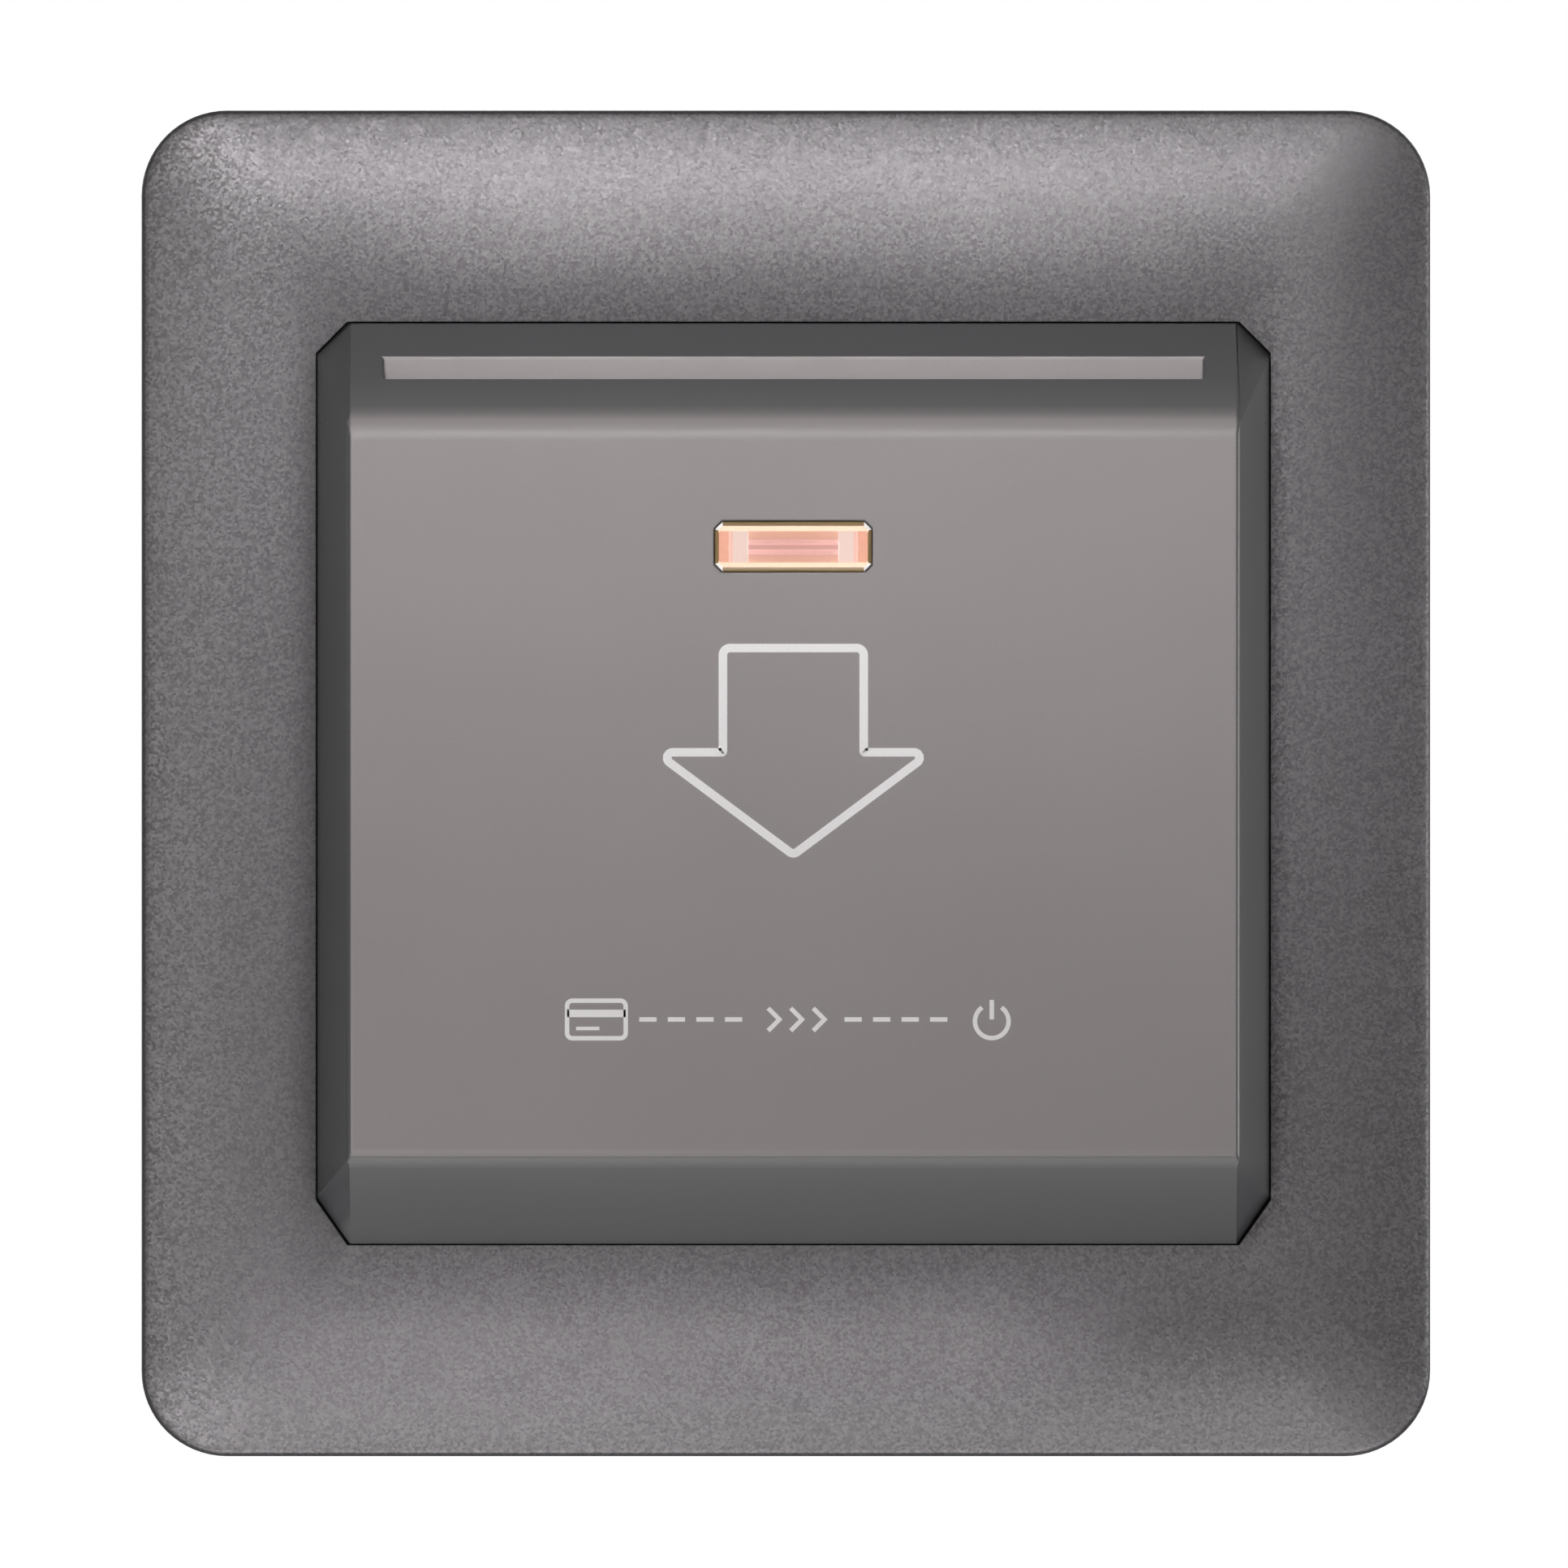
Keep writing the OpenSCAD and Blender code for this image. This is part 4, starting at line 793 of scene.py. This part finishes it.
keep("leverPin", pinMesh(pinSize), "zinc", "base", "lever_pin")
keep("pressButton", plungerMesh(plungerSize), "ivory", "plunger", "switch_plunger")
keep("movingRivet", contactMesh(contactSize, *contactSize["moving"]), "silver", "blade", "moving_contact")
keep("fixedRivet", contactMesh(contactSize, *contactSize["fixed"]), "silver", "base", "fixed_contact")
keep("neonTube", tubeMesh(lampSize), "glass", "base", "lamp_tube")
keep("neonRods", electrodeMesh(lampSize), "electrode", "base", "lamp_electrodes")
keep("lampResistor", resistorMesh(resistorSize), "resistor", "base", "lamp_resistor")
print("turned pieces made")


# lamp window: clear pane in a bevelled rim, with a lip behind

lensSize = {"halfWide": 5.2, "halfHigh": 1.65, "clip": 0.5, "clipIn": 0.3, "clipPane": 0.1, "up": lampUp,
            "back": 15.4, "shoulder": 17.6, "front": 19.7, "lip": 1.0, "lipSoft": 0.1, "chamfer": 0.27,
            "ridge": 0.3, "ridgeEase": 0.04, "end": 0.2, "endSteps": (0.02, 0.03, 0.05), "step": 0.05,
            "looks": ("pane", "olive", "cream", "glint"), "chamferRow": 4, "shortSides": (3, 7)}


def buildLens(size):
    def ring(wide, high, clip, out):
        a, b, c = size["halfWide"] + wide, size["halfHigh"] + high, clip
        corners = [(-a, c - b), (c - a, -b), (a - c, -b), (a, c - b), (a, b - c), (a - c, b), (c - a, b), (-a, b - c)]
        return [at(x, size["up"] + y, out) for x, y in corners]

    lip, soft, shoulder, top, step, cut = pick(size, "lip lipSoft shoulder front step chamfer")
    clip, small, pane = pick(size, "clip clipIn clipPane")
    inner = cut + size["ridge"]
    end = [-size["end"] - more for more in (0, *size["endSteps"])]
    rows = [(lip, lip, clip, size["back"]), (lip, lip, clip, shoulder - soft), (lip - soft, lip - soft, clip, shoulder),
            (0, 0, clip, shoulder), (0, 0, clip, top - cut), (end[0], -cut, small, top - step),
            (end[1], -cut - size["ridgeEase"], small, top), (end[2], -inner, pane, top),
            (end[3], -inner - step, pane, top - step)]
    loops = [ring(*row) for row in rows]
    mesh = lofted("lens", loops)
    for look in size["looks"]:
        mesh.materials.append(finishes[look])
    # olive, cream and glint faces are painted shade, painted light and painted highlights on the clear lens
    for face in mesh.polygons:
        row, side = divmod(face.index, len(loops[0]))
        face.use_smooth = False
        if row >= len(rows) - 1:
            look = "pane"
        elif row == size["chamferRow"]:
            look = "olive" if side % 2 else "glint"
        else:
            look = "olive" if row < size["chamferRow"] or side in size["shortSides"] else "cream"
        face.material_index = size["looks"].index(look)
    return mesh


keep("lampWindow", buildLens(lensSize), None, "base", "lamp_window")
print("window made")


# print on the front: arrow and plain signs, a thin layer of ink

printSize = {"face": 19.6, "thick": 0.02, "stroke": 0.57, "bendSteps": 10, "sharpest": 0.3}
arrowSize = {"shaft": 4.685, "top": 9.005, "wingUp": 2.07, "wing": 9.14, "tip": -4.75, "shaftRound": 0.475,
             "wingRound": 0.37, "tipRound": 0.4, "innerRound": 0.08}
signSize = {"up": -15.7, "stroke": 0.3, "card": -13.1, "cardWide": 3.9, "cardHigh": 2.5, "cardRound": 0.35,
            "stripeUp": 0.4, "stripe": 0.5, "note": 0.24, "noteUp": -0.6, "noteIn": 0.6, "noteEnd": 0.2,
            "dash": 1.15, "dashPitch": 1.9, "dashes": 4, "dashFrom": 3.4, "chevron": 0.75, "chevronPitch": 1.5,
            "chevronShift": 0.2, "power": 13.2, "powerRadius": 1.12, "powerUp": -0.12, "powerTop": 1.3,
            "arcFrom": 125, "arcTurn": 290, "arcSteps": 32}


def roundedPath(corners):  # corners as (x, up, radius)
    path = []
    for i, (x, y, radius) in enumerate(corners):
        p = Vector((x, y))
        u = (Vector(corners[i - 1][:2]) - p).normalized()
        v = (Vector(corners[(i + 1) % len(corners)][:2]) - p).normalized()
        half = u.angle(v) / 2
        middle = p + (u + v).normalized() * (radius / math.sin(half))
        start = p + u * (radius / math.tan(half)) - middle
        end = p + v * (radius / math.tan(half)) - middle
        for step in range(printSize["bendSteps"] + 1):
            path.append(middle + start.lerp(end, step / printSize["bendSteps"]).normalized() * radius)
    return path


def inkStroke(work, path, width, closed):
    count = len(path)
    sides = []
    for i, p in enumerate(path):
        before = path[i - 1] if closed or i > 0 else p
        after = path[(i + 1) % count] if closed or i < count - 1 else p
        come = (p - before).normalized() if (p - before).length > tiny else (after - p).normalized()
        go = (after - p).normalized() if (after - p).length > tiny else come
        along = (come + go).normalized()
        reach = width / 2 / max(along.dot(go), printSize["sharpest"])
        normal = Vector((-along.y, along.x)) * reach
        sides.append((p + normal, p - normal))
    back, front = ([[work.verts.new(at(q.x, q.y, out)) for q in pair] for pair in sides]
                   for out in (printSize["face"], printSize["face"] + printSize["thick"]))
    for i in range(count if closed else count - 1):
        j = (i + 1) % count
        work.faces.new((front[i][0], front[j][0], front[j][1], front[i][1]))
        work.faces.new((back[i][0], back[i][1], back[j][1], back[j][0]))
        for k in (0, 1):
            work.faces.new((front[i][k], back[i][k], back[j][k], front[j][k]))
    if not closed:
        for i in (0, count - 1):
            work.faces.new((front[i][0], front[i][1], back[i][1], back[i][0]))


def inkMesh(name, strokes):
    work = bmesh.new()
    for path, width, closed in strokes:
        inkStroke(work, path, width, closed)
    return outward(work, bpy.data.meshes.new(name))


def arrowStrokes(size):
    s, top, bend, w, up, wingBend, r = pick(size, "shaft top shaftRound wing wingUp wingRound innerRound")
    corners = [(-s, top, bend), (s, top, bend), (s, up, r), (w, up, wingBend), (0, size["tip"], size["tipRound"]),
               (-w, up, wingBend), (-s, up, r)]
    return [(roundedPath(corners), printSize["stroke"], True)]


def signStrokes(size):  # card, dashes, chevrons and power sign in a row
    up, stroke, x, c, right, radius, steps = pick(size, "up stroke card chevron power powerRadius arcSteps")
    a, b = size["cardWide"] / 2, size["cardHigh"] / 2

    def line(*points, width=stroke):
        return [Vector((across, up + rise)) for across, rise in points], width, False

    card = [(x + sx * a, up + sy * b, size["cardRound"]) for sx, sy in ((-1, 1), (1, 1), (1, -1), (-1, -1))]
    strokes = [(roundedPath(card), stroke, True),
               line((x - a, size["stripeUp"]), (x + a, size["stripeUp"]), width=size["stripe"]),
               line((x - a + size["noteIn"], size["noteUp"]), (x + size["noteEnd"], size["noteUp"]),
                    width=size["note"])]
    for side in (-1, 1):
        for i in range(size["dashes"]):
            start = size["dashFrom"] + i * size["dashPitch"]
            strokes.append(line((side * start, 0), (side * (start + size["dash"]), 0)))
    for i in (-1, 0, 1):
        middle = i * size["chevronPitch"] + size["chevronShift"]
        strokes.append(line((middle - c / 2, c), (middle + c / 2, 0), (middle - c / 2, -c)))
    turns = [math.radians(size["arcFrom"] + size["arcTurn"] * i / steps) for i in range(steps + 1)]
    strokes.append(line(*((right + radius * math.cos(turn), size["powerUp"] + radius * math.sin(turn))
                          for turn in turns)))
    return strokes + [line((right, size["powerTop"]), (right, 0))]


keep("arrowPrint", inkMesh("arrowPrint", arrowStrokes(arrowSize)), "ink", "base")
keep("signPrint", inkMesh("signPrint", signStrokes(signSize)), "ink", "base")
print("print laid on")


# node trees: wires along a path, screws set on points

def closeTree(tree, geometry, ins, outs):  # smooth, made plain and given its finish
    smooth = node(tree, "GeometryNodeSetShadeSmooth", Geometry=geometry)
    plain = node(tree, "GeometryNodeRealizeInstances", Geometry=smooth.outputs[0])
    coat = node(tree, "GeometryNodeSetMaterial", Geometry=plain.outputs[0], Material=ins["Finish"])
    feed(outs["Geometry"], coat.outputs[0])
    return tree


def buildWireTree():
    tree, ins, outs = newTree("drawnWire", "GeometryNodeTree",
                              {"Geometry": "Geometry", "Wire Radius": 0.0003, "Bend Radius": 0.0006, "Sides": 16,
                               "Bend Steps": 6, "Finish": "Material"}, {"Geometry": "Geometry"})
    curve = node(tree, "GeometryNodeMeshToCurve", Mesh=ins["Geometry"])
    bend = node(tree, "GeometryNodeFilletCurve", mode="POLY", Curve=curve.outputs[0], Count=ins["Bend Steps"],
                Radius=ins["Bend Radius"], Limit_Radius=True)
    ring = node(tree, "GeometryNodeCurvePrimitiveCircle", Resolution=ins["Sides"], Radius=ins["Wire Radius"])
    tube = node(tree, "GeometryNodeCurveToMesh", Curve=bend.outputs[0], Profile_Curve=ring.outputs[0], Fill_Caps=True)
    return closeTree(tree, tube.outputs[0], ins, outs)


def buildScrewTree():  # each screw turned at random, up to the given angle either way
    tree, ins, outs = newTree("setScrews", "GeometryNodeTree",
                              {"Geometry": "Geometry", "Screw": "Object", "Turn": 1.5, "Seed": 7,
                               "Finish": "Material"}, {"Geometry": "Geometry"})
    screw = node(tree, "GeometryNodeObjectInfo", Object=ins["Screw"])
    turn = node(tree, "FunctionNodeRandomValue", Seed=ins["Seed"])
    least, most = [socket for socket in turn.inputs if socket.type == "VALUE" and socket.name in ("Min", "Max")]
    feed(least, maths("MULTIPLY", ins["Turn"], -1))
    feed(most, ins["Turn"])
    spin = node(tree, "ShaderNodeCombineXYZ", Y=turn.outputs[1])
    place = node(tree, "GeometryNodeInstanceOnPoints", Points=ins["Geometry"], Instance=screw.outputs["Geometry"],
                 Rotation=spin.outputs[0])
    return closeTree(tree, place.outputs[0], ins, outs)


def grown(name, tree, mesh, values):  # the tree's result as a plain mesh
    source = linked(name + "Path", mesh)
    made = modifier(source, "NODES", node_group=tree)
    for item in tree.interface.items_tree:
        if item.in_out == "INPUT" and item.name in values:
            made[item.identifier] = values[item.name]
    return bake(source, name)


def pathMesh(paths):
    points, edges = [], []
    for path in paths:
        edges += [(len(points) + i, len(points) + i + 1) for i in range(len(path) - 1)]
        points += path
    mesh = bpy.data.meshes.new("path")
    mesh.from_pydata(points, edges, [])
    return mesh


springSize = {**pivot, "half": 2.6, "radius": 2.1, "wire": 0.35, "sides": 14, "bend": 0, "turns": 4.32888,
              "steps": 110, "leg": 8, "legTurn": 28.397, "rest": 9.7}
leadSize = {"up": lampUp, "wire": 0.3, "sides": 14, "start": lampSize["half"], "turn": 4.9, "tubeOut": lampOut,
            "out": leadOut, "pin": clampAcross, "end": -2.6, "bend": 0.55}


def springPath(size):
    half, up, out, radius, turns, steps, leg = pick(size, "half up out radius turns steps leg")
    points = [at(-half, up + radius, size["rest"])]
    for i in range(steps + 1):
        t = turns * i / steps
        turn = 2 * math.pi * t
        points.append(at(half * (2 * t / turns - 1), up + radius * math.cos(turn), out - radius * math.sin(turn)))
    way = math.radians(size["legTurn"])
    points.append(points[-1] + at(0, -leg * math.cos(way), leg * math.sin(way)))
    return points


def leadPath(size, side, start=None, end=None):
    turn, out, tubeOut, pin = pick(size, "turn out tubeOut pin")
    points = [(start, out)] if start else [(size["start"], tubeOut), (turn, tubeOut), (turn, out)]
    points += [(end, out)] if end else [(pin, out), (pin, size["end"])]
    return [at(side * x, size["up"], level) for x, level in points]


def drawnWire(name, size, paths, look):
    return grown(name, wireTree, pathMesh(paths), {"Wire Radius": size["wire"] * mm, "Bend Radius": size["bend"] * mm,
                                                   "Sides": size["sides"], "Finish": finishes[look]})


wireTree, screwTree = buildWireTree(), buildScrewTree()
spring = keep("leverSpring", drawnWire("springShape", springSize, [springPath(springSize)], "spring"), None, None,
              "lever_spring")
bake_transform(spring)
far, near = (-end for end in resistorSize["ends"])
supplyPaths = [leadPath(leadSize, -1, end=near), leadPath(leadSize, -1, start=far)]
keep("supplyLead", drawnWire("supplyLeadShape", leadSize, supplyPaths, "tinned"), None, "base", "lamp_lead_supply")
keep("neutralLead", drawnWire("neutralLeadShape", leadSize, [leadPath(leadSize, 1)], "tinned"), None, "base",
     "lamp_lead_neutral")
print("wires drawn")


# screws: sunk cross heads through the yoke, slotted clamp screws in the terminals

screwShape = {"sides": 48, "crease": 30, "rise": 0.4, "crest": 0.55, "tip": 1.6, "cutOver": 1}
sunkSize = {"x": 26.4315, "up": 21.9863, "head": 2.3, "rim": [(0, 0.12), (0.05, 0.03), (0.14, 0.1)], "headHigh": 1.2,
            "shank": 1.25, "neck": 0.2, "length": 8, "pitch": 0.8, "thread": 0.2, "recess": 0.62, "recessDeep": 0.62,
            "turn": 1.5, "seed": 5}
clampSize = {"x": clampAcross, "up": lampUp, "back": -20.65, "head": 2.9, "rim": [(0, 0.5), (0.12, 0.18), (0.4, 0)],
             "headHigh": 2.0, "headEdge": (0.1, 0.12), "shank": 1.7, "neck": 0.1, "length": 5.6, "pitch": 0.7,
             "thread": 0.22, "slot": 0.9, "slotHalf": 4, "slotDeep": 1.0, "turn": 0.6, "seed": 11}


def threaded(size):
    radius, pitch, depth, length = pick(size, "shank pitch thread length")
    rows = []
    along = size["headHigh"] + size["neck"]
    while along + pitch < length:
        rows += [(along, radius - depth), (along + screwShape["rise"] * pitch, radius),
                 (along + screwShape["crest"] * pitch, radius)]
        along += pitch
    return rows + [(along, radius - depth), (length, radius - screwShape["tip"] * depth)]


def carved(mesh, cutters):  # recess cut out of a screw head
    body = linked("screwBody", mesh)
    tools = [linked("recessTool", cutter) for cutter in cutters]
    for tool in tools:
        modifier(body, "BOOLEAN", operation="DIFFERENCE", object=tool)
    shaped = bake(body, mesh.name)
    for tool in tools:
        bpy.data.objects.remove(tool)
    return shaped


def screwMesh(name, size, shoulder, recesses, deep):
    profile = [(down, size["head"] - less) for down, less in size["rim"]] + shoulder
    profile += [(size["headHigh"], size["shank"])] + threaded(size)
    cutters = [boxMesh("recess", (-long, -high, -screwShape["cutOver"]), (long, high, deep)) for long, high in recesses]
    shaft = turned(name, [(-along, radius) for along, radius in profile], (0, 0, 0), "y", screwShape["sides"])
    return carved(shaft, cutters)


def sunkScrew(size):
    half, long = size["recess"] / 2, size["shank"]
    return screwMesh("sunkScrew", size, [], [(long, half), (half, long)], size["recessDeep"])


def clampScrew(size):  # head towards the wall
    up, less = size["headEdge"]
    shoulder = [(size["headHigh"] - up, size["head"]), (size["headHigh"], size["head"] - less)]
    return screwMesh("clampScrew", size, shoulder, [(size["slotHalf"], size["slot"] / 2)], size["slotDeep"])


def setScrews(name, screw, points, size, replaced):
    master = linked(name + "Master", screw)
    mesh = bpy.data.meshes.new("points")
    mesh.from_pydata(points, [], [])
    whole = grown(name + "Shape", screwTree, mesh, {"Screw": master, "Turn": size["turn"], "Seed": size["seed"],
                                                    "Finish": finishes["zinc"]})
    bpy.data.objects.remove(master)
    whole.set_sharp_from_angle(angle=math.radians(screwShape["crease"]))
    keep(name, whole, None, "base", replaced)


yokePoints = [at(sx * sunkSize["x"], sy * sunkSize["up"], 0) for sx in (-1, 1) for sy in (-1, 1)]
clampPoints = [at(x * clampSize["x"], clampSize["up"], clampSize["back"]) for x in (-1, 0, 1)]
setScrews("yokeScrews", sunkScrew(sunkSize), yokePoints, sunkSize, "assembly_screws")
setScrews("clampScrews", clampScrew(clampSize), clampPoints, clampSize, "terminal_screws")
print("screws set")


# room: pale floor, white surround, soft lamps

roomSize = {"white": (1, 1, 1, 1), "ambient": 0.06, "front": 0.25, "ahead": (0.05, -0.4), "level": (0.62, 0.3),
            "floor": -0.4, "floorSide": 6, "floorGlow": 0.8, "floorColour": (0.8, 0.8, 0.8, 1), "floorRough": 0.9}
lamps = [  # name, place, aim across and up, size, spread in degrees, power
    ("nearTop", (-0.035, -0.32, 0.09), (0, 0), (0.26, 0.1), 180, 0.149),
    ("brightGrid", (-0.02, -0.22, 0.13), (0, 0.022), (0.12, 0.03), 26, 0.0105),
    ("nearLeft", (-0.2, -0.3, -0.03), (0, 0), (0.1, 0.2), 180, 0.104),
    ("cornerGrid", (-0.09, -0.2, -0.11), (-0.032, -0.042), (0.05, 0.05), 24, 0.0012),
    ("lowMid", (-0.05, -0.3, -0.2), (0, 0), (0.3, 0.1), 180, 0.232),
    ("lowGrid", (-0.02, -0.3, -0.05), (-0.008, -0.038), (0.055, 0.01), 4, 0.00027),
    ("topGrid", (0.0, -0.3, 0.05), (0, 0.039), (0.05, 0.01), 4, 0.0002),
    ("underSoft", (0.0, -0.1, -0.3), (0, 0), (0.3, 0.15), 180, 0.335),
    ("rightSoft", (0.4, 0.05, 0.0), (0, 0), (0.1, 0.2), 180, 0.88),
    ("backSoft", (0.25, 0.6, 0.3), (0, 0), (0.4, 0.4), 180, 2.0),
    ("backFill", (-0.35, 0.5, 0.05), (0, 0), (0.3, 0.3), 180, 1.1),
]


def whiteRays(tree):  # camera, mirror and see-through rays
    path = node(tree, "ShaderNodeLightPath").outputs
    first = maths("MAXIMUM", path["Is Camera Ray"], path["Is Glossy Ray"])
    return maths("MAXIMUM", first, path["Is Transmission Ray"])


def buildWorld(size):  # white all round to the camera, dim in front for mirror rays
    world = bpy.data.worlds.new("paleRoom")
    world.use_nodes = True
    tree = world.node_tree
    light = tree.nodes["Background"].inputs
    light["Color"].default_value = size["white"]
    way = axes(spotOf(tree, "Generated"))
    ahead = mapped(way["Y"], *size["ahead"])
    level = mapped(maths("ABSOLUTE", way["Z"]), *size["level"])
    room = mapped(product(ahead, level), 0.0, 1.0, 1.0, size["front"])
    shown = mapped(node(tree, "ShaderNodeLightPath").outputs["Is Camera Ray"], 0.0, 1.0, room, 1.0)
    feed(light["Strength"], mapped(whiteRays(tree), 0.0, 1.0, size["ambient"], shown))
    scene.world = world


def buildFloor(size):
    work = bmesh.new()
    bmesh.ops.create_grid(work, x_segments=2, y_segments=2, size=size["floorSide"] / 2)
    for vert in work.verts:
        vert.co.z = size["floor"]
    mesh = stored(work, bpy.data.meshes.new("paleFloor"))
    material, tree, shader = blank("paleFloor", {"Base Color": size["floorColour"], "Roughness": size["floorRough"],
                                                 "Specular IOR Level": 0.0, "Emission Color": size["white"]})
    feed(shader["Emission Strength"], mapped(whiteRays(tree), 0.0, 1.0, 0.0, size["floorGlow"]))
    mesh.materials.append(material)
    floor = linked("paleFloor", mesh)


def buildLamps():
    for name, spot, aim, extent, spread, power in lamps:
        data = bpy.data.lights.new(name, "AREA")
        data.shape = "RECTANGLE"
        data.size, data.size_y = extent
        data.energy = power
        data.spread = math.radians(spread)
        lamp = linked(name, data)
        lamp.location = spot
        lamp.rotation_euler = (Vector((aim[0], 0, aim[1])) - Vector(spot)).to_track_quat("-Z", "Y").to_euler()
        lamp.visible_camera = False


buildWorld(roomSize)
buildFloor(roomSize)
buildLamps()
print("room lit")
